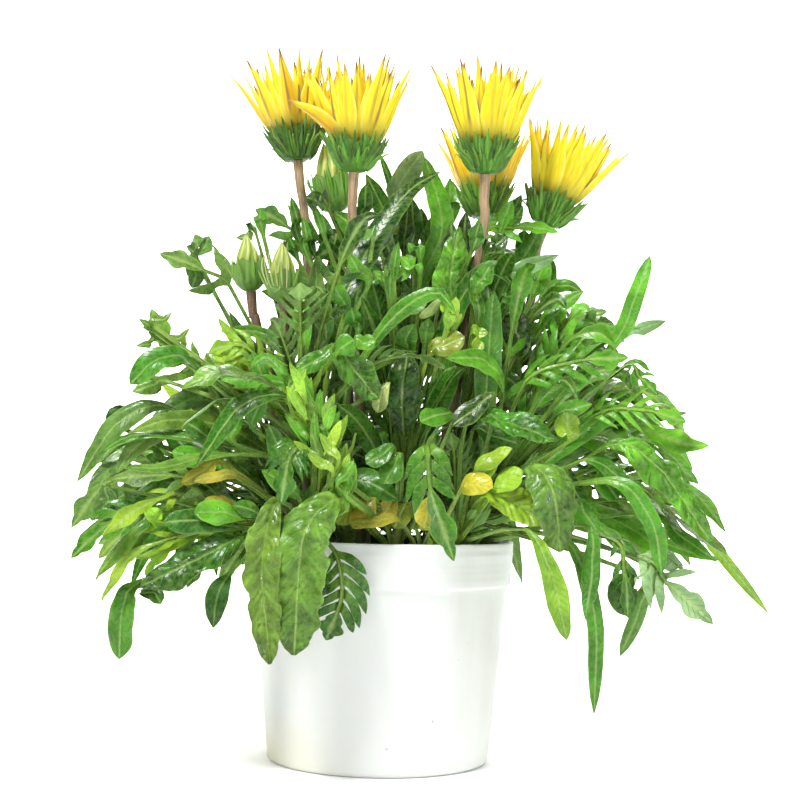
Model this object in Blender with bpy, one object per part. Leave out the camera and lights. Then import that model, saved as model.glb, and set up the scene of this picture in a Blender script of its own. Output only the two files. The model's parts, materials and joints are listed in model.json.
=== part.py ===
"""A potted gazania: a thin white pot, its soil, open yellow flower heads, buds and the leafy shoots."""

import math
import random

import bmesh
import bpy
from mathutils import Vector
from mathutils.bvhtree import BVHTree

for old in list(bpy.data.objects):
    bpy.data.objects.remove(old, do_unlink=True)

# Sizes in metres. A 14 cm pot, measured over the rim.
MM = 0.001
GAP = 0.3 * MM
RIM_R = 70.0 * MM
RIM_TOP = 116.0 * MM
RIM_LOW = 94.0 * MM
NECK_R = 67.0 * MM
FOOT_R = 58.5 * MM
POT_WALL = 1.4 * MM
POT_SIDES = 30
DRAINS = 6
DRAIN_R = 4.5 * MM
DRAIN_RING = 38.0 * MM
SOIL_TOP = 103.0 * MM
STEM_R = 3.6 * MM
STALK_R = 2.4 * MM
HOLE_DEEP = 14.0 * MM
BLADE = 0.75 * MM

# The front view: the eye is 830 mm before the pot's axis and 148 mm above its foot, looking a little up.
EYE = Vector((8.0, -830.0, 148.0))
VIEW_SCALE = 1548.0
VIEW_TILT = math.radians(2.92)
VIEW_ROLL = math.radians(1.25)


def at(u, v, y):
    """The place seen at (u, v) in the front view, y millimetres behind the pot's axis, in metres."""
    a = u - 400.0
    b = 400.0 - v
    across = a * math.cos(VIEW_ROLL) - b * math.sin(VIEW_ROLL)
    up = a * math.sin(VIEW_ROLL) + b * math.cos(VIEW_ROLL)
    ahead = VIEW_SCALE * math.cos(VIEW_TILT) - up * math.sin(VIEW_TILT)
    rise = VIEW_SCALE * math.sin(VIEW_TILT) + up * math.cos(VIEW_TILT)
    step = (y - EYE.y) / ahead
    return Vector((EYE.x + across * step, y, EYE.z + rise * step)) * MM


def paint(name, rgb, rough):
    found = bpy.data.materials.get(name)
    if found:
        return found
    made = bpy.data.materials.new(name)
    made.use_nodes = True
    shader = made.node_tree.nodes["Principled BSDF"]
    shader.inputs["Base Color"].default_value = (*rgb, 1.0)
    shader.inputs["Roughness"].default_value = rough
    return made


def solid(name, verts, faces, colour=None):
    mesh = bpy.data.meshes.new(name)
    mesh.from_pydata([tuple(v) for v in verts], [], faces)
    work = bmesh.new()
    work.from_mesh(mesh)
    bmesh.ops.recalc_face_normals(work, faces=work.faces)
    bmesh.ops.triangulate(work, faces=work.faces)
    work.to_mesh(mesh)
    work.free()
    body = bpy.data.objects.new(name, mesh)
    bpy.context.scene.collection.objects.link(body)
    if colour:
        mesh.materials.append(colour)
    return body


def boolean(body, others, operation, solver="EXACT"):
    """Joins the others to the body, or cuts them from it, and removes them."""
    group = bpy.data.collections.new("others")
    bpy.context.scene.collection.children.link(group)
    for other in others:
        for home in list(other.users_collection):
            home.objects.unlink(other)
        group.objects.link(other)
    step = body.modifiers.new("step", "BOOLEAN")
    step.operation = operation
    step.operand_type = "COLLECTION"
    step.collection = group
    step.solver = solver
    bpy.context.view_layer.objects.active = body
    bpy.ops.object.modifier_apply(modifier="step")
    for other in others:
        bpy.data.objects.remove(other, do_unlink=True)
    bpy.data.collections.remove(group)


def neaten(body, least):
    """Draws in the edges shorter than least where leaves cross, and puts the faces in order of height."""
    work = bmesh.new()
    work.from_mesh(body.data)
    bmesh.ops.triangulate(work, faces=work.faces)
    for _ in range(4):
        short = [e for e in work.edges if e.calc_length() < least]
        if short:
            bmesh.ops.collapse(work, edges=short)
    work.faces.sort(key=lambda f: f.calc_center_median().z)
    if all(len(e.link_faces) == 2 for e in work.edges):
        work.to_mesh(body.data)
    work.free()


def turned(profile, sides, start=0.0):
    """A (radius, height) outline turned about the Z axis, closed by its ends at radius 0."""
    verts, rings = [], []
    caps = []
    for spot, (radius, height) in enumerate(profile):
        if radius == 0.0:
            near = profile[1] if spot == 0 else profile[spot - 1]
            if near[1] == height:
                caps.append(spot)
                rings.append(None)
                continue
            rings.append([len(verts)] * sides)
            verts.append(Vector((0, 0, height)))
            continue
        rings.append([len(verts) + k for k in range(sides)])
        for k in range(sides):
            turn = start + 2 * math.pi * k / sides
            verts.append(Vector((radius * math.cos(turn), radius * math.sin(turn), height)))
    faces = [list(rings[1] if spot == 0 else rings[spot - 1]) for spot in caps]
    for one, two in zip(rings, rings[1:]):
        if one is None or two is None:
            continue
        for k in range(sides):
            n = (k + 1) % sides
            face = [one[k], one[n], two[n], two[k]]
            kept = [p for i, p in enumerate(face) if p not in face[:i]]
            if len(kept) > 2:
                faces.append(kept)
    return verts, faces


def curve(points, spans=10):
    """A smooth line through the points: places at even steps, with their share of the whole length."""
    ends = [points[0] * 2 - points[1]] + list(points) + [points[-1] * 2 - points[-2]]
    line = []
    for i in range(1, len(ends) - 2):
        a, b, c, d = ends[i - 1 : i + 3]
        for k in range(spans):
            t = k / spans
            line.append(
                0.5 * (2 * b + (c - a) * t + (2 * a - 5 * b + 4 * c - d) * t * t
                       + (3 * b - a - 3 * c + d) * t ** 3)
            )
    line.append(points[-1].copy())
    far = [0.0]
    for one, two in zip(line, line[1:]):
        far.append(far[-1] + (two - one).length)
    return line, [f / far[-1] for f in far], far[-1]


def along(path, share):
    """The place and direction at a share of the way along a curve."""
    line, shares, _ = path
    share = min(max(share, 0.0), 1.0)
    i = 1
    while i < len(line) - 1 and shares[i] < share:
        i += 1
    t = (share - shares[i - 1]) / (shares[i] - shares[i - 1])
    before = (line[i] - line[i - 1]).normalized()
    low = line[max(i - 2, 0)]
    high = line[min(i + 1, len(line) - 1)]
    return line[i - 1].lerp(line[i], t), (before + (high - low).normalized()).normalized()


def tube(path, low, high, sides, steps):
    """A closed round stem along a curve, straight in its hole; low and high are the radii of its ends."""
    verts, faces = [], []
    side = Vector((1, 0, 0))
    straight = (HOLE_DEEP + 2.4 * MM) / path[2]
    steps += 1
    for k in range(steps + 1):
        share = straight + (1 - straight) * (k - 1) / (steps - 1) if k else 0.0
        spot, way = along(path, share)
        side = (side - way * side.dot(way)).normalized()
        other = way.cross(side)
        radius = low + (high - low) * share
        for n in range(sides):
            turn = 2 * math.pi * n / sides
            verts.append(spot + (side * math.cos(turn) + other * math.sin(turn)) * radius)
    for k in range(steps):
        for n in range(sides):
            m = (n + 1) % sides
            faces.append([k * sides + n, k * sides + m, (k + 1) * sides + m, (k + 1) * sides + n])
    faces.append(list(range(sides))[::-1])
    faces.append([steps * sides + n for n in range(sides)])
    return verts, faces


# The pot: a thin turned shell with a rim band, a flat floor and drain holes round it.
white = paint("pot_white", (0.86, 0.86, 0.84), 0.45)
profile = [
    (0.0, 0.0),
    (FOOT_R - 1.8 * MM, 0.0),
    (FOOT_R, 2.0 * MM),
    (NECK_R, RIM_LOW - 1.5 * MM),
    (RIM_R - 1.0 * MM, RIM_LOW),
    (RIM_R, RIM_TOP - 0.6 * MM),
    (RIM_R - POT_WALL / 2, RIM_TOP),
    (RIM_R - POT_WALL, RIM_TOP - 0.6 * MM),
    (RIM_R - 1.0 * MM - POT_WALL, RIM_LOW + 0.6 * MM),
    (NECK_R - POT_WALL, RIM_LOW - 2.5 * MM),
    (FOOT_R - POT_WALL, POT_WALL),
    (0.0, POT_WALL),
]
pot = solid("pot", *turned(profile, POT_SIDES), white)
drains = []
for k in range(DRAINS):
    turn = 2 * math.pi * (k + 0.5) / DRAINS
    verts, faces = turned([(0.0, -5 * MM), (DRAIN_R, -5 * MM), (DRAIN_R, 5 * MM), (0.0, 5 * MM)], 6)
    move = Vector((DRAIN_RING * math.cos(turn), DRAIN_RING * math.sin(turn), 0))
    drains.append(solid("drain", [v + move for v in verts], faces))
boolean(pot, drains, "DIFFERENCE")

# The shoots: name, foot on the soil (x, y), crown (x, y, z), all in millimetres.
SHOOTS = {
    "front_left": ((-30, -40), (-40, -52, 128)),
    "front_right": ((34, -40), (44, -50, 130)),
    "front": ((6, -48), (10, -58, 132)),
    "young": ((-14, -34), (-43, -57, 192)),
    "left_low": ((-50, -14), (-56, -17, 134)),
    "left": ((-44, 8), (-60, 4, 142)),
    "left_top": ((-30, -14), (-40, -20, 158)),
    "left_back": ((-28, 30), (-38, 36, 168)),
    "centre": ((8, -18), (10, -26, 158)),
    "top": ((8, 10), (12, 10, 196)),
    "top_right": ((30, 14), (42, 14, 190)),
    "right": ((42, -10), (60, -16, 152)),
    "right_low": ((46, -26), (52, -30, 134)),
    "right_back": ((38, 36), (56, 48, 150)),
    "back": ((8, 48), (10, 64, 150)),
    "back_left": ((-16, 50), (-26, 66, 142)),
    "old": ((22, -52), (20, -58, 113)),
}

# The flower heads: the stalk's foot on the soil, its middle, the cup's foot, the way it faces, petals.
HEADS = {
    "a": ((-26, 8), at(307, 240, 14), at(298, 161, 10), (-0.12, 0.05, 1.0), 16),
    "b": ((-8, -8), at(353, 240, -22), at(354, 172, -26), (0.03, -0.05, 1.0), 18),
    "c": ((22, -4), at(480, 250, -20), at(485, 174, -22), (0.02, -0.05, 1.0), 18),
    "d": ((26, 34), at(484, 290, 34), at(484, 218, 40), (-0.02, 0.10, 1.0), 14),
    "e": ((44, 16), at(531, 300, 12), at(545, 226, 8), (0.32, -0.08, 1.0), 16),
}
BUDS = {
    "f": ((-12, 22), at(340, 260, 14), at(337, 212, 12), (-0.22, 0.0, 1.0)),
    "g": ((-40, -6), at(258, 330, -8), at(251, 291, -8), (-0.12, 0.0, 1.0)),
    "h": ((-34, -24), at(286, 330, -34), at(284, 302, -36), (-0.06, -0.1, 1.0)),
}


def foot_path(foot, middle, top):
    """The line of a stalk or stem from the bottom of its hole in the soil."""
    low = Vector((foot[0] * MM, foot[1] * MM, SOIL_TOP - HOLE_DEEP + GAP))
    mid = low + Vector((0, 0, HOLE_DEEP * 0.6))
    rise = low + Vector((0, 0, HOLE_DEEP + 3 * MM))
    aim = middle or top
    line = [low, mid, rise, rise.lerp(aim, 0.12)]
    return line + [middle, top] if middle else line + [top]


# The soil fills the pot; its top is uneven, and each stalk and stem stands in a plain hole in it.
earth = paint("soil_brown", (0.05, 0.035, 0.025), 0.95)
verts, faces = [], []
SOIL_RINGS = [(0.0, 0), (0.40, 8), (0.72, 14), (1.0, POT_SIDES)]
rows = []
for share, count in SOIL_RINGS:
    rows.append([])
    for k in range(max(count, 1)):
        turn = 2 * math.pi * k / max(count, 1)
        radius = (RIM_R - 1.0 * MM - POT_WALL - 2 * GAP) * share
        x, y = radius * math.cos(turn), radius * math.sin(turn)
        lift = 1.6 * math.sin(x * 90 + 1.0) * math.cos(y * 110) + 0.9 * math.sin(x * 210 + y * 160)
        rows[-1].append(len(verts))
        verts.append(Vector((x, y, SOIL_TOP + (lift - 1.0 - 2.0 * share ** 3) * MM)))
for one, two in zip(rows, rows[1:]):
    if len(one) == 1:
        faces += [[one[0], two[k], two[(k + 1) % len(two)]] for k in range(len(two))]
        continue
    i = j = 0
    while i < len(one) or j < len(two):
        if j * len(one) <= i * len(two):
            faces.append([one[i % len(one)], two[j % len(two)], two[(j + 1) % len(two)]])
            j += 1
        else:
            faces.append([one[i % len(one)], two[j % len(two)], one[(i + 1) % len(one)]])
            i += 1
edge = rows[-1]
for radius, height in (
    (RIM_R - 1.0 * MM - POT_WALL - 2 * GAP, RIM_LOW + 1.6 * MM),
    (NECK_R - POT_WALL - 2 * GAP, RIM_LOW - 2.5 * MM),
    (FOOT_R - POT_WALL - 2 * GAP, POT_WALL + GAP),
):
    ring = []
    for k in range(POT_SIDES):
        turn = 2 * math.pi * k / POT_SIDES
        ring.append(len(verts))
        verts.append(Vector((radius * math.cos(turn), radius * math.sin(turn), height)))
    for k in range(POT_SIDES):
        n = (k + 1) % POT_SIDES
        faces.append([edge[k], ring[k], ring[n], edge[n]])
    edge = ring
faces.append(edge)
soil = solid("soil", verts, faces, earth)
holes = []
for (x, y), radius in [(s[0], STEM_R) for s in SHOOTS.values()] + [
    (h[0], STALK_R) for h in list(HEADS.values()) + list(BUDS.values())
]:
    low = SOIL_TOP - HOLE_DEEP
    wide = (radius + GAP) * 1.24
    verts, faces = turned([(0.0, low), (wide, low), (wide, low + 40 * MM), (0.0, low + 40 * MM)], 5)
    holes.append(solid("hole", [v + Vector((x * MM, y * MM, 0)) for v in verts], faces))
boolean(soil, holes, "DIFFERENCE")


def tree_of(verts, faces):
    return BVHTree.FromPolygons([tuple(v) for v in verts], faces)


def tree_of_body(body):
    mesh = body.data
    return tree_of([v.co for v in mesh.vertices], [list(p.vertices) for p in mesh.polygons])


placed = {"pot": [tree_of_body(pot)], "soil": [tree_of_body(soil)]}


def head_frame(foot, way, spin):
    """Carries (across, beside, up) of a flower head to the world; up is the way that it faces."""
    up = Vector(way).normalized()
    one = (Vector((1, 0, 0)) - up * up.x).normalized()
    two = up.cross(one)
    one, two = one * math.cos(spin) + two * math.sin(spin), two * math.cos(spin) - one * math.sin(spin)
    return lambda p: foot + one * p[0] + two * p[1] + up * p[2]


def slab(points, faces, place, thick, grow=0.0):
    """A thin closed blade: the flat pattern of (along, across) points bent by place, and its underside."""
    top, low = [], []
    for spot in points:
        p, normal = place(*spot)
        top.append(p + normal * (thick / 2 + grow))
        low.append(p - normal * (thick / 2 + grow))
    count = len(points)
    ends = {}
    for face in faces:
        for a, b in zip(face, face[1:] + face[:1]):
            ends[(a, b)] = True
    walls = [(a, b) for a, b in ends if (b, a) not in ends]
    made = [list(f) for f in faces] + [[p + count for p in reversed(f)] for f in faces]
    for a, b in walls:
        made.append([b, a, a + count])
        made.append([b, a + count, b + count])
    return top + low, made


def bender(path, face_way, fold, wave, waves, turn=0.0):
    """Places a blade's (share along, metres across, height) on its curve, folded and waved at the edges."""
    chord = (path[0][-1] - path[0][len(path[0]) // 3]).normalized()
    ref = chord.cross(face_way).normalized()
    sides = []
    for k in range(25):
        spot, way = along(path, k / 24)
        side = ref - way * ref.dot(way)
        sides.append(side.normalized() if side.length > 0.3 else None)
    known = [k for k in range(25) if sides[k]]
    for k in range(25):
        if not sides[k]:
            near = min(known, key=lambda i: abs(i - k))
            way = along(path, k / 24)[1]
            side = sides[near] - way * sides[near].dot(way)
            sides[k] = side.normalized() if side.length > 0.05 else way.orthogonal().normalized()

    def place(share, across, height=0.0):
        spot, way = along(path, share)
        k = min(int(share * 24), 23)
        side = sides[k].lerp(sides[k + 1], share * 24 - k)
        side = (side - way * side.dot(way)).normalized()
        normal = side.cross(way)
        if turn:
            angle = turn * share
            side, normal = (side * math.cos(angle) + normal * math.sin(angle),
                            normal * math.cos(angle) - side * math.sin(angle))
        ripple = wave * math.sin(waves * share * 6.283 + (1.7 if across > 0 else 0.0)) * abs(across)
        lift = abs(across) * math.sin(fold) + ripple + height
        beyond = way * max(share - 1.0, 0.0) * path[2]
        hand = 1 if across > 0 else -1 if across < 0 else 0
        normal_out = (normal - side * math.sin(fold) * hand).normalized()
        return spot + beyond + side * across * math.cos(fold) + normal * lift, normal_out

    return place


OVAL = [(0.0, 0.14), (0.30, 0.68), (0.60, 1.0), (0.84, 0.80), (1.0, 0.14)]
LANCE = [(0.0, 0.14), (0.25, 0.72), (0.52, 1.0), (0.78, 0.76), (1.0, 0.08)]
STRAP = [(0.0, 0.45), (0.25, 0.9), (0.45, 1.0), (0.78, 0.85), (1.0, 0.16)]
PETIOLE = 1.25 * MM


def seen(p):
    """Where a place is seen in the front view: the other way round from at."""
    x, y, z = (c / MM for c in p)
    x, y, z = x - EYE.x, y - EYE.y, z - EYE.z
    ahead = y * math.cos(VIEW_TILT) + z * math.sin(VIEW_TILT)
    up = (z * math.cos(VIEW_TILT) - y * math.sin(VIEW_TILT)) / ahead * VIEW_SCALE
    across = x / ahead * VIEW_SCALE
    a = across * math.cos(VIEW_ROLL) + up * math.sin(VIEW_ROLL)
    b = up * math.cos(VIEW_ROLL) - across * math.sin(VIEW_ROLL)
    return 400 + a, 400 - b


def plain_pattern(outline, start, half, grow):
    """A plain leaf on its petiole: the flat pattern, three points across."""
    rows = [(0.0, PETIOLE), (start * 0.55, PETIOLE)]
    rows += [(start + (1 - start) * t, max(half * w, 0.5 * MM)) for t, w in outline]
    points, faces = [], []
    for t, w in rows:
        points += [(t, -w - grow), (t, 0.0), (t, w + grow)]
    for k in range(len(rows) - 1):
        a = 3 * k
        for c in (a, a + 1):
            faces += [[c, c + 1, c + 4], [c, c + 4, c + 3]]
    return points, faces


def thin_pattern(outline, start, half, grow, short):
    """A narrow leaf: the flat pattern, two points across."""
    rows = [(0.0, PETIOLE)] if short else [(0.0, PETIOLE), (start * 0.5, PETIOLE)]
    outline = outline[:1] + [(0.34, outline[1][1] * 0.5 + 0.5), (0.70, outline[3][1])] + outline[4:]
    rows += [(start + (1 - start) * t, max(half * w, 0.5 * MM)) for t, w in outline]
    points, faces = [], []
    for t, w in rows:
        points += [(t, -w - grow), (t, w + grow)]
    for k in range(len(rows) - 1):
        a = 2 * k
        faces += [[a, a + 1, a + 3], [a, a + 3, a + 2]]
    return points, faces


def lobed_pattern(pairs, start, half, length, lean, end_share, end_half, wide, grow, short, blunt):
    """A lobed leaf: leaflets cut to the rib in one outline, with a larger lobe at the tip."""
    stop = 1 - end_share
    rib = PETIOLE * 0.9 + grow
    span = (stop - start) / pairs
    foot = min(span / 2, max(0.75 * wide, 2.4 * MM) / length)
    parted = not short and (span / 2 - foot) * length > 1.2 * MM
    points = [(0.0, -rib), (0.0, rib)]
    rows = [0]
    if not short:
        rows.append(2)
        points += [(start * 0.55, -rib), (start * 0.55, rib)]
    bases = []
    for k in range(pairs):
        middle = start + span * (k + 0.5)
        ends = (middle - foot, middle + foot) if parted else (middle - span / 2, middle + span / 2)
        for t in ends if parted or k == 0 else ends[1:]:
            rows.append(len(points))
            points += [(t, -rib), (t, rib)]
        bases.append((middle, rows[-2], rows[-1]))
    tip = ((0.55, 1.0), (1.0, 0.12)) if short else ((0.4, 0.95), (0.72, 0.85), (1.0, 0.12))
    for t, w in tip:
        rows.append(len(points))
        wing = max(end_half * w, 0.5 * MM) + grow
        points += [(stop + end_share * t, -wing), (stop + end_share * t, wing)]
    faces = []
    for one, two in zip(rows, rows[1:]):
        faces += [[one, two + 1, one + 1], [one, two, two + 1]]
    wide = max(wide, 0.72 * foot * length * math.sin(lean))
    for k, (middle, low, high) in enumerate(bases):
        size = half * (0.72 + 0.28 * math.sin(math.pi * (k + 1) / (pairs + 0.6)))
        for hand in (-1, 1):
            dx, dy = math.cos(lean), math.sin(lean) * hand
            nx, ny = -dy, dx
            spots = []
            for f, w in ((0.5, wide), (1.0, 0.0), (0.5, -wide))[: 3 if blunt else 2]:
                reach = size * f + (grow if f == 1.0 else 0)
                spread = w + math.copysign(grow, w) if w else 0
                spots.append((middle + (dx * reach + nx * spread * hand) / length,
                              dy * reach + ny * spread * hand + hand * rib))
            first = len(points)
            points += spots
            front, mid, rear = first, first + 1, first + (2 if blunt else 1)
            a = low + (1 if hand > 0 else 0)
            b = high + (1 if hand > 0 else 0)
            lobe = [[a, b, rear], [a, rear, front]] + ([[front, rear, mid]] if blunt else [])
            faces += lobe if hand > 0 else [f[::-1] for f in lobe]
    return points, faces


KINDS = {
    "oval": (OVAL, 0),
    "lance": (LANCE, 0),
    "strap": (STRAP, 0),
    "lobe1": (None, 1),
    "lobe2": (None, 2),
    "lobe3": (None, 3),
    "lobe4": (None, 4),
    "comb": (None, 5),
    "fan": (None, 3),
}
TIP_SHARES = {"comb": 0.32, "lobe4": 0.36, "fan": 0.60}


def leaf(root, kind, width, face_way, points, seed, grow=0.0, short=False):
    """One leaf from its root in a stem: petiole up to the first point, blade from there to the last."""
    path = curve([root] + points)
    first = (points[0] - root).length
    whole = first
    for one, two in zip(points, points[1:]):
        whole += (two - one).length
    start = min(max(first / whole, 0.08), 0.85) if len(points) > 1 else 0.3
    luck = random.Random(seed)
    fold = math.radians(luck.uniform(4, 24))
    wave = luck.uniform(0.06, 0.2)
    waves = luck.uniform(2.0, 3.2)
    place = bender(path, face_way, fold, wave, waves)
    outline, pairs = KINDS[kind]
    half = width * MM / 2
    if outline and width < 17.5:
        pattern = thin_pattern(outline, start, half, grow, short)
    elif outline:
        pattern = plain_pattern(outline, start, half, grow)
    else:
        blade = (1 - start) * path[2]
        end_share = (1 - start) * TIP_SHARES.get(kind, 0.48)
        wide = min(0.32 * (blade * 0.62) / pairs, half * 0.27)
        lean = math.radians(luck.uniform(36, 52))
        blunt = kind == "comb" and width >= 28
        pattern = lobed_pattern(pairs, start, half * 1.3, path[2], lean, end_share,
                                min(half * 0.45, 6.5 * MM), wide, grow, short, blunt)
    flat, faces = pattern

    def bent(share, across):
        droop = -0.9 * across * across / max(half, 4 * MM) * 0.35
        return place(share, across, droop)

    return slab(flat, faces, bent, BLADE, grow)


def keel(path, face_way, widths, deep, turn=0.0):
    """A narrow folded petal or bract: three points at each (share, half width), its ridge behind."""
    place = bender(path, face_way, 0.0, 0.0, 1, turn)
    verts, faces = [], []
    for t, w in widths:
        spot, normal = place(t, 0.0)
        curl = normal * w * 0.35
        verts += [place(t, -w)[0] + curl, place(t, w)[0] + curl, spot - normal * deep]
    for k in range(len(widths) - 1):
        a = 3 * k
        for i, j in ((0, 1), (1, 2), (2, 0)):
            faces += [[a + i, a + j, a + 3 + j], [a + i, a + 3 + j, a + 3 + i]]
    last = 3 * len(widths) - 3
    return verts, faces + [[0, 1, 2], [last, last + 2, last + 1]]


def outer(verts, faces, root, far):
    """The faces of a leaf further from its root than far."""
    return tree_of(verts, [f for f in faces if min((verts[p] - root).length for p in f) > far])


def clear(verts, faces, own, root):
    """True where a leaf meets no other node, and no leaf of its own shoot except near the stem."""
    tree = tree_of(verts, faces)
    for name, trees in placed.items():
        if name != own and any(tree.overlap(other) for other in trees):
            return False
    far = outer(verts, faces, root, 16 * MM)
    return not any(far.overlap(other) for other in outers.get(own, []))


outers = {}


# The stalks, cups and petals of the open heads.
stalk_tan = paint("stalk_tan", (0.42, 0.30, 0.17), 0.6)
cup_green = paint("cup_green", (0.12, 0.30, 0.07), 0.5)
ray_yellow = paint("ray_yellow", (0.95, 0.66, 0.03), 0.5)
bud_yellow = paint("bud_yellow", (0.80, 0.70, 0.12), 0.5)
CUP_TEETH = 7
LOOSE = 10
for index, (key, (foot, middle, top, way, rays)) in enumerate(HEADS.items()):
    up = Vector(way).normalized()
    path = curve(foot_path(foot, middle, top - up * 14 * MM) + [top - up * GAP])
    verts, faces = tube(path, STALK_R, STALK_R * 1.05, 6, 5)
    body = solid(f"stalk_{key}", verts, faces, stalk_tan)
    placed[body.name] = [tree_of_body(body)]

    place = head_frame(top, way, 0.3 * index)
    verts, faces, rings = [], [], []
    sides = 2 * CUP_TEETH
    tall = [
        (0.0, 0.0, 0.0), (5.0, 0.0, 0.0), (9.4, 4.0, 0.0), (12.6, 10.0, 0.0), (14.9, 14.6, 2.7),
        (13.9, 15.0, 2.5), (9.8, 8.4, 0.0), (0.0, 7.8, 0.0),
    ]
    for radius, height, tooth in tall:
        if radius == 0.0:
            rings.append([len(verts)] * sides)
            verts.append(place(Vector((0, 0, height)) * MM))
            continue
        rings.append([len(verts) + k for k in range(sides)])
        for k in range(sides):
            turn = 2 * math.pi * k / sides
            r = radius + (0.25 * tooth if k % 2 else -0.1 * tooth)
            lift = height + (tooth if k % 2 else -tooth * 0.6)
            verts.append(place(Vector((r * math.cos(turn), r * math.sin(turn), lift)) * MM))
    for one, two in zip(rings, rings[1:]):
        for k in range(sides):
            n = (k + 1) % sides
            face = [one[k], one[n], two[n], two[k]]
            kept = [p for i, p in enumerate(face) if p not in face[:i]]
            if len(kept) > 2:
                faces.append(kept)
    body = solid(f"cup_{key}", verts, faces, cup_green)
    # Narrow free bracts round the cup's outside, curled out at the tip.
    luck = random.Random(11 + index)
    bracts = []
    for k in range(4):
        turn = 2 * math.pi * (k + luck.uniform(-0.2, 0.2)) / 4
        tip = luck.uniform(15.5, 20)
        rise = luck.uniform(10, 20)
        spots = [(8.0, 4.6), (13.0, 12.0), (tip, rise)]
        line = [place(Vector((r * math.cos(turn), r * math.sin(turn), h)) * MM) for r, h in spots]
        face_way = place(Vector((-math.cos(turn), -math.sin(turn), 1.2))) - place(Vector((0, 0, 0)))
        widths = [(0, 1.5 * MM), (0.55, 1.2 * MM), (1, 0.4 * MM)]
        bracts.append(solid("bract", *keel(curve(line, 6), face_way, widths, 0.8 * MM)))
    boolean(body, bracts, "UNION")
    placed[body.name] = [tree_of_body(body)]

    # The disc in the cup's well, and the ray petals that rise from it in two layers.
    verts, faces = turned([(0.0, 9.2), (8.4, 9.2), (8.6, 13.0), (0.0, 16.0)], 8)
    disc = solid(f"rays_{key}", [place(v * MM) for v in verts], faces, ray_yellow)
    petals = []
    for k in range(rays):
        inner = k % 2 == 1
        turn = 2 * math.pi * (k + luck.uniform(-0.15, 0.15)) / rays
        wide = luck.uniform(6.6, 8.0) if inner else luck.uniform(8.4, 10.0)
        reach = luck.uniform(17, 25) if inner else luck.uniform(28, 35)
        rise = luck.uniform(56, 61) if inner else luck.uniform(50, 57)
        swing = luck.uniform(-0.08, 0.08)
        low, mid = (4.6, 9.4) if inner else (7.4, 12.6)
        if key == "b" and k == LOOSE:
            wide, reach, rise, swing = 12, 37, 35, -0.45
        spots = [(low, 11.4, 0.0), (mid, 20.0, 0.0)]
        spots.append(((reach + mid) * 0.5 - 1.0, (rise + 22) * 0.5, swing / 2))
        spots.append((reach, rise, swing))
        line = [place(Vector((r * math.cos(turn + s), r * math.sin(turn + s), h)) * MM)
                for r, h, s in spots]
        face_way = place(Vector((-math.cos(turn), -math.sin(turn), 0.6))) - place(Vector((0, 0, 0)))
        half = wide * MM / 2
        widths = [(0, half * 0.3), (0.46, half), (1, 0.3 * MM)]
        twist = luck.uniform(-0.5, 0.5)
        petals.append(solid("petal", *keel(curve(line, 6), face_way, widths, 1.1 * MM, twist)))
    boolean(disc, petals, "UNION")
    placed[disc.name] = [tree_of_body(disc)]

# The buds: a closed green cup with a pointed yellow tip held in it.
for index, (key, (foot, middle, top, way)) in enumerate(BUDS.items()):
    up = Vector(way).normalized()
    path = curve(foot_path(foot, middle, top - up * 14 * MM) + [top - up * GAP])
    verts, faces = tube(path, STALK_R, STALK_R, 6, 4)
    body = solid(f"stalk_{key}", verts, faces, stalk_tan)
    placed[body.name] = [tree_of_body(body)]
    place = head_frame(top, way, 0.5 * index)
    size = 1.25 if key == "f" else 1.0
    verts, faces = turned(
        [(0.0, 0.0), (3.4, 0.0), (8.0, 4.6), (8.2, 15.0), (7.1, 14.6), (6.9, 7.4), (0.0, 7.0)], 8
    )
    for n in range(8):
        for ring in (3, 4):
            spot = verts[(ring - 1) * 8 + n]
            spot.z += 2.4 if n % 2 else -1.8
    body = solid(f"budcup_{key}", [place(v * size * MM) for v in verts], faces, cup_green)
    luck = random.Random(31 + index)
    bracts = []
    for k in range(3):
        turn = 2 * math.pi * (k + luck.uniform(-0.2, 0.2)) / 3
        spots = [(6.6, 4.2), (9.6, 9.0), (luck.uniform(11, 15), luck.uniform(11, 18))]
        line = [place(Vector((r * math.cos(turn), r * math.sin(turn), h)) * size * MM) for r, h in spots]
        face_way = place(Vector((-math.cos(turn), -math.sin(turn), 1.2))) - place(Vector((0, 0, 0)))
        widths = [(0, 1.4 * MM), (0.55, 1.1 * MM), (1, 0.4 * MM)]
        bracts.append(solid("bract", *keel(curve(line, 6), face_way, widths, 0.8 * MM)))
    boolean(body, bracts, "UNION")
    placed[body.name] = [tree_of_body(body)]
    verts, faces = turned([(0.0, 7.6), (5.7, 8.4), (5.8, 18.0), (2.8, 26.0), (0.0, 31.0)], 7)
    body = solid(f"budtip_{key}", [place(v * size * MM) for v in verts], faces, bud_yellow)
    placed[body.name] = [tree_of_body(body)]

# The shoots' stems.
leaf_green = paint("leaf_green", (0.10, 0.30, 0.05), 0.4)
leaf_old = paint("leaf_old", (0.62, 0.58, 0.10), 0.5)
stems = {}
for name, (foot, crown) in SHOOTS.items():
    top = Vector(crown) * MM
    path = curve(foot_path(foot, None, top))
    verts, faces = tube(path, STEM_R, STEM_R * 0.75, 6, 2)
    colour = leaf_old if name == "old" else leaf_green
    stems[name] = (solid(f"shoot_{name}", verts, faces, colour), path, [])
    placed[f"shoot_{name}"] = [tree_of_body(stems[name][0])]

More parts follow.
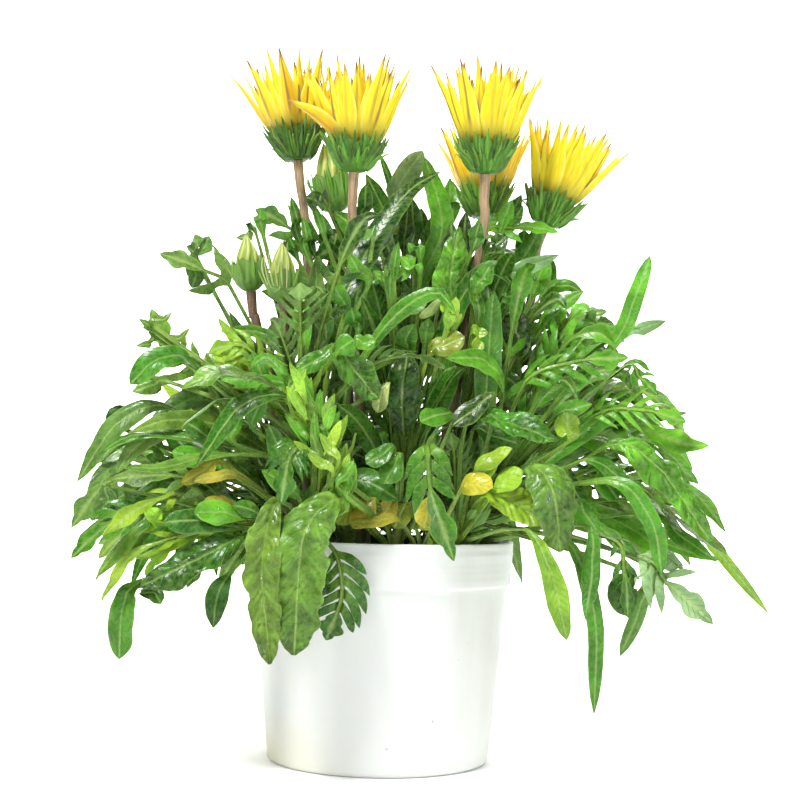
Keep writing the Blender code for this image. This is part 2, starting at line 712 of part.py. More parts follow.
# The leaves seen from the front: shoot, kind, width in mm, how far the face turns from up to the viewer in
# degrees, then (u, v, y) from the start of the blade to its tip.
SEEN = [
    ("front", "fan", 30, 70, [(425, 446, -84), (431, 492, -94), (454, 561, -94)]),
    ("front_left", "oval", 27, 62, [(338, 497, -86), (304, 535, -98), (294, 655, -94)]),
    ("front_left", "oval", 18, 64, [(280, 500, -84), (262, 560, -94), (270, 664, -92)]),
    ("front_left", "comb", 28, 70, [(334, 550, -82), (342, 594, -86), (326, 640, -82)]),
    ("front_right", "oval", 22, 60, [(524, 470, -74), (552, 490, -90), (560, 552, -86)]),
    ("front_right", "oval", 12, 66, [(520, 528, -82), (548, 565, -92), (567, 640, -86)]),
    ("front_right", "lance", 17, 52, [(466, 418, -58), (508, 424, -76), (557, 441, -84)]),
    ("front_right", "lance", 12, 60, [(503, 403, -50), (486, 362, -60), (446, 358, -74)]),
    ("centre", "lance", 20, 88, [(404, 440, -46), (402, 395, -54), (408, 350, -52)]),
    ("left_top", "oval", 17, 72, [(334, 350, -64), (350, 366, -72), (378, 399, -70)]),
    ("left_top", "oval", 11, 66, [(336, 354, -60), (322, 357, -70), (296, 372, -74)]),
    ("front", "oval", 12, 60, [(452, 424, -60), (436, 416, -72), (420, 422, -78)]),
    ("top", "strap", 13, 85, [(416, 300, -8), (442, 228, -14), (425, 158, -6)]),
    ("top", "lance", 17, 88, [(452, 332, -24), (450, 280, -30), (459, 227, -28)]),
    ("top", "oval", 14, 84, [(393, 212, 18), (400, 184, 14), (423, 151, 12)]),
    ("top", "strap", 5, 80, [(396, 230, 22), (392, 190, 20), (380, 154, 20)]),
    ("top", "lance", 14, 76, [(384, 262, -4), (362, 235, -10), (334, 211, -12)]),
    ("top", "lance", 12, 80, [(404, 250, 26), (384, 210, 28), (366, 174, 28)]),
    ("top", "lobe2", 15, 82, [(414, 292, 2), (409, 262, -2), (415, 230, -2)]),
    ("centre", "lobe2", 15, 82, [(396, 312, -30), (390, 280, -34), (392, 250, -34)]),
    ("top_right", "lobe3", 22, 60, [(478, 254, -2), (515, 228, -8), (558, 232, -12)]),
    ("top_right", "lance", 11, 84, [(498, 252, 14), (508, 222, 12), (521, 195, 12)]),
    ("top_right", "lance", 10, 100, [(486, 292, -12), (520, 270, -18), (559, 255, -20)]),
    ("top_right", "strap", 8, 84, [(542, 306, 18), (550, 282, 18), (551, 258, 20)]),
    ("top_right", "lance", 10, 64, [(536, 304, 0), (562, 286, -6), (583, 292, -8)]),
    ("top_right", "lobe2", 20, 70, [(552, 346, -10), (580, 320, -16), (607, 311, -18)]),
    ("right", "strap", 10, 82, [(608, 352, -16), (634, 300, -20), (650, 256, -18)]),
    ("right", "lance", 9, 70, [(614, 346, -6), (640, 330, -4), (666, 321, -2)]),
    ("right", "lobe4", 30, 54, [(522, 386, -46), (575, 362, -54), (628, 358, -56)]),
    ("right", "lobe2", 18, 60, [(616, 372, -30), (640, 378, -34), (658, 396, -36)]),
    ("right", "comb", 26, 56, [(590, 418, -44), (640, 410, -50), (686, 422, -52)]),
    ("right_back", "lobe3", 26, 62, [(604, 434, 20), (650, 440, 20), (698, 484, 18)]),
    ("right_low", "lance", 19, 58, [(598, 450, -56), (652, 462, -66), (713, 546, -64)]),
    ("right_back", "strap", 7, 66, [(664, 500, 10), (714, 547, 4), (768, 613, 0)]),
    ("right_low", "lance", 10, 62, [(640, 512, -44), (680, 536, -46), (717, 562, -46)]),
    ("right_low", "strap", 10, 118, [(604, 480, -74), (650, 518, -84), (662, 575, -82)]),
    ("right_low", "lance", 10, 56, [(576, 462, -60), (620, 478, -66), (651, 508, -66)]),
    ("right_low", "fan", 30, 62, [(636, 556, -72), (666, 582, -80), (713, 624, -78)]),
    ("right_low", "lobe2", 16, 66, [(606, 536, -66), (624, 572, -70), (628, 618, -68)]),
    ("right_back", "strap", 9, 70, [(640, 560, 0), (640, 606, -4), (620, 656, -6)]),
    ("right_low", "lance", 10, 66, [(580, 524, -72), (592, 566, -78), (585, 619, -76)]),
    ("right_low", "strap", 9, 64, [(560, 536, -64), (594, 612, -68), (594, 713, -60)]),
    ("left_top", "strap", 7, 70, [(292, 368, -46), (264, 334, -54), (224, 331, -56)]),
    ("left_top", "strap", 5, 84, [(292, 358, -34), (295, 336, -34), (293, 315, -34)]),
    ("young", "strap", 6, 70, [(292, 386, -64), (268, 358, -70), (252, 366, -74)]),
    ("young", "lance", 9, 62, [(292, 388, -56), (256, 380, -62), (221, 380, -64)]),
    ("left", "strap", 6, 76, [(256, 372, -26), (236, 342, -30), (218, 318, -30)]),
    ("left", "strap", 6, 70, [(248, 376, -36), (230, 360, -40), (213, 358, -42)]),
    ("young", "lance", 12, 60, [(296, 402, -72), (244, 404, -84), (196, 467, -84)]),
    ("left", "lance", 12, 72, [(166, 422, 0), (178, 440, -2), (197, 461, -4)]),
    ("left", "lance", 14, 64, [(180, 412, -30), (122, 420, -36), (77, 482, -36)]),
    ("left", "lobe3", 26, 66, [(214, 390, -14), (172, 352, -20), (151, 309, -20)]),
    ("left", "oval", 16, 70, [(200, 374, -34), (162, 358, -44), (130, 384, -46)]),
    ("left_back", "lobe1", 34, 66, [(240, 302, 26), (204, 271, 22), (159, 253, 20)]),
    ("left_back", "lobe2", 28, 68, [(305, 262, 28), (286, 226, 24), (255, 209, 22)]),
    ("left_low", "lobe3", 28, 60, [(160, 470, -34), (108, 482, -40), (71, 528, -40)]),
    ("left_low", "lobe3", 26, 62, [(166, 512, -50), (116, 520, -56), (71, 558, -56)]),
    ("left", "oval", 16, 66, [(140, 452, 6), (106, 474, 4), (92, 521, 4)]),
    ("left_low", "oval", 15, 66, [(148, 578, -62), (124, 604, -68), (119, 659, -66)]),
    ("left_low", "lance", 21, 56, [(246, 534, -70), (196, 560, -82), (138, 588, -84)]),
    ("left_low", "lance", 12, 62, [(232, 570, -62), (218, 594, -66), (213, 628, -66)]),
    ("young", "fan", 26, 66, [(306, 446, -84), (290, 457, -92), (281, 504, -92)]),
    ("old", "oval", 15, 60, [(460, 490, -74), (472, 484, -82), (493, 488, -86)]),
    ("old", "oval", 13, 56, [(440, 506, -62), (430, 512, -64), (420, 530, -64)]),
    ("old", "oval", 13, 56, [(410, 506, -60), (402, 512, -62), (394, 528, -62)]),
    ("old", "strap", 7, 50, [(400, 520, -60), (376, 522, -62), (350, 522, -62)]),
]

# The leaves behind by rule: shoot, how many, middle of the sweep in degrees, its width, length in mm.
FILL = [
    ("back", 6, 90, 130, (80, 150)),
    ("back_left", 5, 130, 110, (80, 150)),
    ("right_back", 3, 45, 90, (80, 150)),
    ("left_back", 3, 130, 120, (70, 130)),
    ("top", 1, 90, 160, (60, 100)),
    ("top_right", 2, 45, 120, (60, 100)),
]
# The outline of the leafy mass in the front view; the gaps inside it are filled with more leaves.
MASS = [
    (330, 215), (395, 185), (440, 170), (475, 240), (545, 250), (565, 300), (610, 320),
    (645, 370), (690, 420), (700, 480), (722, 545), (700, 575), (640, 560), (590, 530),
    (520, 520), (450, 528), (340, 530), (300, 560), (230, 565), (150, 565), (90, 552),
    (85, 500), (130, 430), (180, 400), (215, 345), (262, 335), (290, 300),
]
CELL = 8
SLIVER = 0.04 * MM
MORE = 31
LIMITS = {"left": -0.160, "right": 0.170, "back": 0.165, "front": -0.115}


def put(name, verts, faces, root):
    stems[name][2].append(solid("leaf", verts, faces))
    placed[f"shoot_{name}"].append(tree_of(verts, faces))
    outers.setdefault(f"shoot_{name}", []).append(outer(verts, faces, root, 9 * MM))


for number, (name, kind, width, turn, points) in enumerate(SEEN):
    path = stems[name][1]
    for attempt in range(90):
        shift = (attempt + 1) // 2 * 2.5 * (1 if attempt % 2 else -1)
        share = 0.97 - 0.06 * ((number + attempt) % 7)
        root = along(path, share)[0]
        tilt = math.radians(turn + (attempt % 5) * 3)
        face_way = Vector((0, -math.sin(tilt), math.cos(tilt)))
        size = width * (1.0 if attempt < 60 else 0.8)
        line = [at(u, v, y + shift * (0.6 if k == 0 else 1.0)) for k, (u, v, y) in enumerate(points)]
        if clear(*leaf(root, kind, size, face_way, line, number, 0.35 * MM), f"shoot_{name}", root):
            put(name, *leaf(root, kind, size, face_way, line, number), root)
            break


def cells(verts, faces):
    """The squares of the front view that a leaf covers."""
    spots = [seen(v) for v in verts]
    found = set()
    for face in faces:
        (x0, y0), (x1, y1), (x2, y2) = (spots[p] for p in face)
        area = (x1 - x0) * (y2 - y0) - (x2 - x0) * (y1 - y0)
        if abs(area) < 1e-6:
            continue
        for i in range(int(min(x0, x1, x2) / CELL), int(max(x0, x1, x2) / CELL) + 1):
            for j in range(int(min(y0, y1, y2) / CELL), int(max(y0, y1, y2) / CELL) + 1):
                x, y = (i + 0.5) * CELL, (j + 0.5) * CELL
                a = ((x1 - x0) * (y - y0) - (x - x0) * (y1 - y0)) / area
                b = ((x - x0) * (y2 - y0) - (x2 - x0) * (y - y0)) / area
                if a >= 0 and b >= 0 and a + b <= 1:
                    found.add((i, j))
    return found


def inside(x, y):
    odd = False
    for (x0, y0), (x1, y1) in zip(MASS, MASS[1:] + MASS[:1]):
        if (y0 > y) != (y1 > y) and x < x0 + (x1 - x0) * (y - y0) / (y1 - y0):
            odd = not odd
    return odd


luck = random.Random(20)
bare = {(i, j) for i in range(100) for j in range(100) if inside((i + 0.5) * CELL, (j + 0.5) * CELL)}
mass = set(bare)
for name, (body, path, leaves) in stems.items():
    for blade in leaves:
        bare -= cells([v.co for v in blade.data.vertices], [list(f.vertices) for f in blade.data.polygons])
crowns = {name: Vector(crown) * MM for name, (foot, crown) in SHOOTS.items() if name != "old"}
counts = {name: 0 for name in crowns}
for number in range(MORE):
    best = None
    todo = sorted(bare)
    for attempt in range(90):
        i, j = luck.choice(todo)
        aim = at((i + 0.5) * CELL, (j + 0.5) * CELL, luck.uniform(-62, 30))
        near = sorted(crowns, key=lambda n: (crowns[n] - aim).length * (1 + 0.08 * counts[n]))
        name = near[luck.randrange(3)]
        root = along(stems[name][1], luck.uniform(0.5, 0.98))[0]
        reach = aim - root
        if not 26 * MM < reach.length < 125 * MM or reach.z < -30 * MM:
            continue
        flat = Vector((reach.x, reach.y, 0))
        out = flat.normalized()
        lift = luck.uniform(0.05, 0.22) * reach.length
        start = root + reach * 0.26 + Vector((0, 0, lift * 0.7))
        crest = root + reach * 0.62 + Vector((0, 0, lift))
        tip = aim + (aim - crest) * luck.uniform(0.6, 1.1)
        tip.z -= luck.uniform(0.05, 0.25) * reach.length
        kind = luck.choice(["oval", "lance", "lance", "lobe2"])
        width = luck.uniform(20, 28) if kind == "lobe2" else luck.uniform(11, 16)
        tilt = math.radians(luck.uniform(30, 75))
        face_way = Vector((out.x * 0.2, -math.sin(tilt), math.cos(tilt)))
        line = [start, crest, aim, tip]
        made = leaf(root, kind, width, face_way, line, number, 0.35 * MM, True)
        if not clear(*made, f"shoot_{name}", root):
            continue
        hides = cells(*made)
        gain = len(hides & bare) - 1.5 * len(hides - mass)
        if best is None or gain > best[0]:
            best = (gain, name, kind, width, face_way, line, root)
    if best and best[0] > 4:
        gain, name, kind, width, face_way, line, root = best
        made = leaf(root, kind, width, face_way, line, number, 0.0, True)
        bare -= cells(*made)
        counts[name] += 1
        put(name, *made, root)

for name, count, middle, sweep, (low, high) in FILL:
    path = stems[name][1]
    for k in range(count):
        kind = luck.choice(["oval", "lance", "lance", "strap", "lobe2", "lobe3"])
        for attempt in range(50):
            turn = math.radians(middle + sweep * ((k + 0.5) / count - 0.5) + luck.uniform(-14, 14))
            length = luck.uniform(low, high) * MM * (1.0 if attempt < 25 else 0.7)
            out = Vector((math.cos(turn), math.sin(turn), 0))
            side = Vector((-out.y, out.x, 0))
            root = along(path, luck.uniform(0.55, 0.98))[0]
            crest = luck.uniform(0.12, 0.42) * length
            drop = luck.uniform(0.05, 0.55) * length
            bow = luck.uniform(-0.12, 0.12) * length
            line = [
                root + out * length * 0.22 + Vector((0, 0, crest * 0.7)),
                root + out * length * 0.62 + side * bow * 0.6 + Vector((0, 0, crest)),
                root + out * length * 0.92 + side * bow + Vector((0, 0, crest - drop)),
            ]
            tip = line[-1]
            if not LIMITS["left"] < tip.x < LIMITS["right"]:
                continue
            if not LIMITS["front"] < tip.y < LIMITS["back"]:
                continue
            width = luck.uniform(20, 28) if kind.startswith("lobe") else luck.uniform(10, 18)
            if kind == "strap":
                width *= 0.5
            face_way = Vector((0, 0, 1)) + side * luck.uniform(-0.5, 0.5)
            seed = 100 + 40 * k + count
            made = leaf(root, kind, width, face_way, line, seed, 0.35 * MM, True)
            if clear(*made, f"shoot_{name}", root):
                put(name, *leaf(root, kind, width, face_way, line, seed, 0.0, True), root)
                break

for name, (body, path, leaves) in stems.items():
    boolean(body, leaves, "UNION", "MANIFOLD")
    neaten(body, SLIVER)
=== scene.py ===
"""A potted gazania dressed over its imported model: pot, soil, flower heads, buds, shoots and water drops."""

import json
import math
import random

import bmesh
import bpy
from mathutils import Matrix, Vector, noise
from mathutils.bvhtree import BVHTree

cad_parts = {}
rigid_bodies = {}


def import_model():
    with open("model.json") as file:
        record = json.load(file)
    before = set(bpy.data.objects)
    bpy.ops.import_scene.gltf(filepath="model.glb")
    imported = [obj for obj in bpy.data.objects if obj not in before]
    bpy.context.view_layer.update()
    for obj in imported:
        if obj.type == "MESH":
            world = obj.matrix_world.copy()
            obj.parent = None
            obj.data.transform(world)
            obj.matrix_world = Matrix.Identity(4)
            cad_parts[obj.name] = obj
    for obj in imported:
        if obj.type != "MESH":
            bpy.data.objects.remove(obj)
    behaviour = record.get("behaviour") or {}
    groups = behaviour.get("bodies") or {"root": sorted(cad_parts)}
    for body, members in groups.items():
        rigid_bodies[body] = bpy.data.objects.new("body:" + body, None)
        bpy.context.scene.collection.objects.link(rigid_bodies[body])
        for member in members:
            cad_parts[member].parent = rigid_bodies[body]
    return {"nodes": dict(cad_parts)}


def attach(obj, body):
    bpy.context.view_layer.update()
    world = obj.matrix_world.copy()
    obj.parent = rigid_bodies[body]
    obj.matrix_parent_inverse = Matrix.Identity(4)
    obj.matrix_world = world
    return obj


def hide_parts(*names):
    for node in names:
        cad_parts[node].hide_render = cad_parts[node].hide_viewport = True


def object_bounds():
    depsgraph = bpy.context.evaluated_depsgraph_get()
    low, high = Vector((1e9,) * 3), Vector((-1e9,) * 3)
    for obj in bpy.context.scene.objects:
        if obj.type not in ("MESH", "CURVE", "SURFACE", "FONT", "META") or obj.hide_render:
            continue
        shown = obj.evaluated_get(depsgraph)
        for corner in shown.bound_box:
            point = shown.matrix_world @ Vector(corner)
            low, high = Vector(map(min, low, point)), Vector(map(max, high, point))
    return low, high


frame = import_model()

solid_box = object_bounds()
MM = 0.001

# The studio: a sheet of white paper that sweeps up behind the pot, a soft light all round, and lamps.
# The camera stands where the photograph was taken from, 83 cm in front and 15 cm above the floor.
CAMERA_PLACE = Vector((8.0, -830.0, 148.0)) * MM
CAMERA_TILT = math.radians(2.92)
CAMERA_ROLL = math.radians(1.25)
VIEW_SCALE = 1548.0
PICTURE = 800.0
camera = bpy.data.objects.new("camera", bpy.data.cameras.new("camera"))
camera.data.sensor_width = 36.0
camera.data.lens = 36.0 * VIEW_SCALE / PICTURE
camera.matrix_world = (
    Matrix.Translation(CAMERA_PLACE)
    @ Matrix.Rotation(math.radians(90) + CAMERA_TILT, 4, "X")
    @ Matrix.Rotation(CAMERA_ROLL, 4, "Z")
)


def show(thing):
    """Puts an object in the scene."""
    bpy.context.scene.collection.objects.link(thing)
    return thing


bpy.context.scene.camera = show(camera)
bpy.context.scene.view_settings.view_transform = "Standard"

world = bpy.data.worlds.new("studio")
world.use_nodes = True
world.node_tree.nodes["Background"].inputs["Color"].default_value = (1.0, 1.0, 0.99, 1.0)
world.node_tree.nodes["Background"].inputs["Strength"].default_value = 0.22
bpy.context.scene.world = world
for name, place, aim, size, power in (
    ("key_lamp", (-0.7, -0.9, 1.6), (0, 0, 0.2), 0.5, 36.0),
    ("fill_lamp", (1.1, -1.1, 0.6), (0, 0, 0.2), 0.9, 9.0),
    ("front_lamp", (0.0, -1.7, 0.25), (0, 0, 0.12), 1.2, 2.5),
    ("back_lamp", (0.5, 1.0, 1.3), (0, 0, 0.25), 0.8, 14.0),
    ("left_paper_lamp", (-1.2, 1.2, 1.0), (-0.3, 2.4, 0.5), 1.0, 60.0),
    ("right_paper_lamp", (1.2, 1.2, 1.0), (0.3, 2.4, 0.5), 1.0, 60.0),
):
    lamp = bpy.data.objects.new(name, bpy.data.lights.new(name, "AREA"))
    lamp.data.shape = "DISK"
    lamp.data.size = size
    lamp.data.energy = power
    lamp.location = place
    lamp.rotation_euler = (Vector(aim) - Vector(place)).to_track_quat("-Z", "Y").to_euler()
    show(lamp)


class Finish:
    """A procedural finish: a Principled shader with nodes added to it one by one."""

    def __init__(self, name, roughness, **fixed):
        self.material = bpy.data.materials.new(name)
        self.material.use_nodes = True
        self.tree = self.material.node_tree
        self.shader = self.tree.nodes["Principled BSDF"]
        self.shader.inputs["Roughness"].default_value = roughness
        for socket, value in fixed.items():
            self.shader.inputs[socket.replace("_", " ")].default_value = value
        self.place = self.add("TexCoord").outputs["Object"]

    def add(self, kind, values=(), **settings):
        node = self.tree.nodes.new("ShaderNode" + kind)
        for key, value in settings.items():
            setattr(node, key, value)
        for socket, value in dict(values).items():
            if isinstance(value, bpy.types.NodeSocket):
                self.tree.links.new(value, node.inputs[socket])
            else:
                node.inputs[socket].default_value = value
        return node

    def grain(self, scale, detail=3.0, place=None, stretch=None):
        place = place or self.place
        if stretch:
            place = self.add("Mapping", {"Vector": place, "Scale": stretch}).outputs[0]
        return self.add("TexNoise", {"Vector": place, "Scale": scale, "Detail": detail}).outputs["Fac"]

    def maths(self, operation, one, two=0.0, clamp=False):
        """A sum of two values or numbers by the named operation."""
        node = self.add("Math", {0: one, 1: two}, operation=operation)
        node.use_clamp = clamp
        return node.outputs[0]

    def times(self, one, two, clamp=False):
        return self.maths("MULTIPLY", one, two, clamp)

    def plus(self, one, two):
        return self.maths("ADD", one, two)

    def span(self, value, low, high, to_low=0.0, to_high=1.0):
        """The value carried smoothly from low..high to to_low..to_high, and held at both ends."""
        node = self.add("MapRange", {"Value": value, "From Min": low, "From Max": high,
                                     "To Min": to_low, "To Max": to_high}, interpolation_type="SMOOTHSTEP")
        return node.outputs[0]

    def mix(self, share, one, two, blend="MIX"):
        node = self.add("Mix", data_type="RGBA", blend_type=blend)
        for socket, value in ((0, share), (6, one), (7, two)):
            if isinstance(value, bpy.types.NodeSocket):
                self.tree.links.new(value, node.inputs[socket])
            elif socket == 0:
                node.inputs[0].default_value = value
            else:
                node.inputs[socket].default_value = (*value, 1.0)
        return node.outputs[2]

    def over(self, tone, share, strength, other):
        """The tone with another laid over it, by a share times a strength."""
        return self.mix(self.times(share, strength), tone, other)

    def parts(self, vector):
        return self.add("SeparateXYZ", {0: vector}).outputs

    def mark(self, name):
        return self.add("Attribute", attribute_name=name).outputs

    def set(self, socket, value):
        self.tree.links.new(value, self.shader.inputs[socket])

    def relief(self, height, strength, deep):
        bump = self.add("Bump", {"Height": height, "Strength": strength, "Distance": deep})
        self.tree.links.new(bump.outputs[0], self.shader.inputs["Normal"])


floor_paper = Finish("floor_paper", 0.9)
shade = floor_paper.grain(3.0)
floor_paper.set("Base Color", floor_paper.mix(shade, (0.93, 0.93, 0.925), (0.95, 0.95, 0.945)))
floor_paper.relief(floor_paper.grain(180.0), 0.05, 0.001)
PAPER_HALF = 5.0
PAPER_BACK = 1.4
PAPER_BEND = 1.0
BEND_STEPS = 16
sweep = [(-PAPER_HALF, 0.0), (PAPER_BACK, 0.0)]
for k in range(1, BEND_STEPS + 1):
    turn = k * math.pi / (2 * BEND_STEPS)
    sweep.append((PAPER_BACK + PAPER_BEND * math.sin(turn), PAPER_BEND - PAPER_BEND * math.cos(turn)))
sweep.append((PAPER_BACK + PAPER_BEND, PAPER_HALF))
mesh = bpy.data.meshes.new("floor")
mesh.from_pydata([(x, y, z) for y, z in sweep for x in (-PAPER_HALF, PAPER_HALF)], [],
                 [(2 * k, 2 * k + 1, 2 * k + 3, 2 * k + 2) for k in range(len(sweep) - 1)])
mesh.shade_smooth()
mesh.materials.append(floor_paper.material)
floor = show(bpy.data.objects.new("floor", mesh))


# The pot: a 14 cm nursery pot, vacuum-formed from one thin sheet that is white outside and black inside.
# It has a stepped rim band with faint forming lines, a rounded foot and six drain holes in its floor.
RIM_R = 70.0
RIM_TOP = 116.0
RIM_LOW = 94.0
NECK_R = 67.0
FOOT_R = 58.5
POT_WALL = 1.4
POT_SIDES = 160
DRAINS = 6
DRAIN_R = 4.5
DRAIN_RING = 38.0
SHARP = math.radians(50)


def polar(radius, turn, height=0.0):
    """The point at a radius and a turn about the Z axis, and at a height."""
    return Vector((radius * math.cos(turn), radius * math.sin(turn), height))


def joined(rings):
    """The faces between rings of points; where two points of a face are one, it has three corners."""
    faces = []
    for one, two in zip(rings, rings[1:]):
        for k in range(len(one)):
            n = (k + 1) % len(one)
            face = [one[k], one[n], two[n], two[k]]
            kept = [p for i, p in enumerate(face) if p not in face[:i]]
            if len(kept) > 2:
                faces.append(kept)
    return faces


def lathe(profile, sides):
    """Vertices and faces of a (radius, height) outline turned about the Z axis, in millimetres."""
    verts, rings = [], []
    for radius, height in profile:
        if radius == 0.0:
            rings.append([len(verts)] * sides)
            verts.append(Vector((0, 0, height)))
        else:
            rings.append([len(verts) + k for k in range(sides)])
            verts += [polar(radius, 2 * math.pi * k / sides, height) for k in range(sides)]
    return verts, joined(rings)


def piece(name, verts, faces, finishes, scale=MM, face_finish=None, marks=()):
    """A smooth-shaded mesh object riding on the plant, with its finishes and its named marks."""
    made = bpy.data.meshes.new(name)
    made.from_pydata([tuple(v * scale) for v in verts], [], faces)
    for kind, label, values in marks:
        made.attributes.new(label, kind, "POINT")
        key = "color" if kind == "FLOAT_COLOR" else "vector"
        made.attributes[label].data.foreach_set(key, values)
    for surface in finishes:
        made.materials.append(surface.material)
    if face_finish:
        made.polygons.foreach_set("material_index", face_finish)
    work = bmesh.new()
    work.from_mesh(made)
    bmesh.ops.recalc_face_normals(work, faces=work.faces)
    work.to_mesh(made)
    work.free()
    made.shade_smooth()
    made.set_sharp_from_angle(angle=SHARP)
    body = show(bpy.data.objects.new(name, made))
    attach(body, "root")
    return body


pot_white = Finish("pot_white", 0.4, Subsurface_Weight=0.12, Subsurface_Scale=0.004)
pot_place = pot_white.parts(pot_white.place)
cloud = pot_white.grain(14.0, 4.0)
skin = pot_white.mix(cloud, (0.77, 0.785, 0.76), (0.84, 0.85, 0.835))
low_down = pot_white.span(pot_place[2], 0.004, 0.034, 1.0, 0.0)
to_left = pot_white.span(pot_place[0], -0.062, 0.0, 1.0, 0.0)
stain = pot_white.times(pot_white.times(low_down, to_left), pot_white.grain(38.0, 4.0))
skin = pot_white.mix(pot_white.times(stain, 1.1, True), skin, (0.78, 0.72, 0.48))
grime = pot_white.span(pot_white.grain(26.0, 6.0, stretch=(1.0, 1.0, 0.25)), 0.56, 0.74)
skin = pot_white.over(skin, grime, 0.35, (0.66, 0.65, 0.58))
speck = pot_white.add("TexVoronoi", {"Vector": pot_white.place, "Scale": 85.0}).outputs["Distance"]
speck = pot_white.span(speck, 0.035, 0.06, 1.0, 0.0)
speck = pot_white.times(speck, pot_white.span(pot_white.grain(9.0), 0.5, 0.6))
skin = pot_white.over(skin, speck, 0.7, (0.30, 0.27, 0.22))
pot_white.set("Base Color", skin)
pot_white.set("Roughness", pot_white.span(pot_white.grain(60.0, 4.0), 0.3, 0.7, 0.50, 0.66))
rings = pot_white.add("TexWave", {"Vector": pot_white.place, "Scale": 95.0, "Distortion": 1.2, "Detail": 1.0},
                      bands_direction="Z").outputs["Fac"]
rings = pot_white.times(rings, pot_white.span(pot_place[2], 0.086, 0.1, 0.15, 1.0))
scuff = pot_white.grain(240.0, 5.0, stretch=(1.0, 1.0, 0.4))
pot_white.relief(pot_white.plus(pot_white.times(rings, 0.5), scuff), 0.12, 0.0006)

pot_black = Finish("pot_black", 0.28)
dust = pot_black.grain(70.0, 5.0)
dusty = pot_black.mix(pot_black.span(dust, 0.5, 0.8), (0.012, 0.012, 0.013), (0.07, 0.06, 0.05))
pot_black.set("Base Color", dusty)
pot_black.set("Roughness", pot_black.span(dust, 0.3, 0.7, 0.2, 0.5))
pot_black.relief(dust, 0.1, 0.0005)

outer = [(0.0, 0.0), (30.0, 0.0), (FOOT_R - 3.4, 0.0), (FOOT_R - 1.9, 0.15), (FOOT_R - 0.8, 0.7),
         (FOOT_R - 0.2, 1.6), (FOOT_R, 3.0)]
outer += [(FOOT_R + (NECK_R - FOOT_R) * (height - 3.0) / (RIM_LOW - 4.5), height)
          for height in (6, 20, 34, 48, 62, 76, 86, 90)]
outer += [(NECK_R, RIM_LOW - 1.5), (NECK_R + 0.35, RIM_LOW - 0.8), (RIM_R - 1.5, RIM_LOW - 0.25),
          (RIM_R - 1.0, RIM_LOW + 0.4), (RIM_R - 0.86, RIM_LOW + 3), (RIM_R - 0.5, RIM_LOW + 10),
          (RIM_R - 0.35, RIM_TOP - 7.2), (RIM_R - 0.05, RIM_TOP - 6.4), (RIM_R - 0.2, RIM_TOP - 5.4),
          (RIM_R - 0.15, RIM_TOP - 2.4), (RIM_R, RIM_TOP - 1.4), (RIM_R - 0.02, RIM_TOP - 0.6),
          (RIM_R - 0.25, RIM_TOP - 0.15), (RIM_R - 0.6, RIM_TOP)]
inner = [(RIM_R - 1.0, RIM_TOP - 0.2), (RIM_R - 1.15, RIM_TOP - 0.8), (RIM_R - 1.3, RIM_TOP - 6),
         (RIM_R - 2.2, RIM_LOW + 2), (RIM_R - 2.5, RIM_LOW + 0.6), (NECK_R - POT_WALL, RIM_LOW - 2.5),
         (NECK_R - POT_WALL - 2, 70.0), (FOOT_R - POT_WALL + 2, 26.0), (FOOT_R - POT_WALL, POT_WALL + 1),
         (FOOT_R - POT_WALL - 1, POT_WALL), (30.0, POT_WALL), (0.0, POT_WALL)]
verts, faces = lathe(outer + inner, POT_SIDES)
inside_from = (len(outer) - 1) * POT_SIDES
pot = piece("pot_shell", verts, faces, [pot_white, pot_black],
            face_finish=[1 if min(f) >= inside_from - POT_SIDES + 1 else 0 for f in faces])
drill = bpy.data.collections.new("drill")
bpy.context.scene.collection.children.link(drill)
for k in range(DRAINS):
    turn = 2 * math.pi * (k + 0.5) / DRAINS
    verts, faces = lathe([(0.0, -5.0), (DRAIN_R, -5.0), (DRAIN_R, 5.0), (0.0, 5.0)], 24)
    made = bpy.data.meshes.new("bit")
    made.from_pydata([tuple((v + polar(DRAIN_RING, turn)) * MM) for v in verts], [], faces)
    drill.objects.link(bpy.data.objects.new("bit", made))
cut = pot.modifiers.new("drains", "BOOLEAN")
cut.operation = "DIFFERENCE"
cut.operand_type = "COLLECTION"
cut.collection = drill
bpy.context.view_layer.objects.active = pot
bpy.ops.object.modifier_apply(modifier="drains")
for bit in list(drill.objects):
    bpy.data.objects.remove(bit, do_unlink=True)
bpy.data.collections.remove(drill)
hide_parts("pot")


# The soil: dark potting mix that fills the pot to 12 mm below the rim. Its crumbs, bark chips and
# grains of white grit lie loose on it, sunk a little into the surface.
SOIL_TOP = 103.0
SOIL_R = 67.0
SOIL_RINGS = 46
SOIL_SIDES = 110
CRUMBS = 340
CHIPS = 46
GRITS = 34


def soil_height(x, y):
    """The height of the soil's top, in millimetres, at (x, y) in millimetres."""
    a, b = x * MM, y * MM
    lift = 1.6 * math.sin(a * 90 + 1.0) * math.cos(b * 110) + 0.9 * math.sin(a * 210 + b * 160)
    share = min(math.hypot(x, y) / SOIL_R, 1.0)
    rough = 0.9 * noise.noise(Vector((x, y, 0)) * 0.16) + 0.7 * noise.noise(Vector((x, y, 3)) * 0.45)
    return SOIL_TOP + lift - 1.0 - 2.0 * share ** 3 + rough


earth = Finish("potting_mix", 0.95)
lumps = earth.grain(420.0, 6.0)
mix_tone = earth.mix(earth.span(lumps, 0.35, 0.7), (0.012, 0.009, 0.007), (0.075, 0.045, 0.028))
fibre = earth.span(earth.grain(900.0, 2.0, stretch=(0.2, 1.0, 1.0)), 0.62, 0.72)
earth.set("Base Color", earth.mix(earth.times(fibre, 0.6), mix_tone, (0.16, 0.10, 0.06)))
earth.relief(lumps, 0.9, 0.0015)

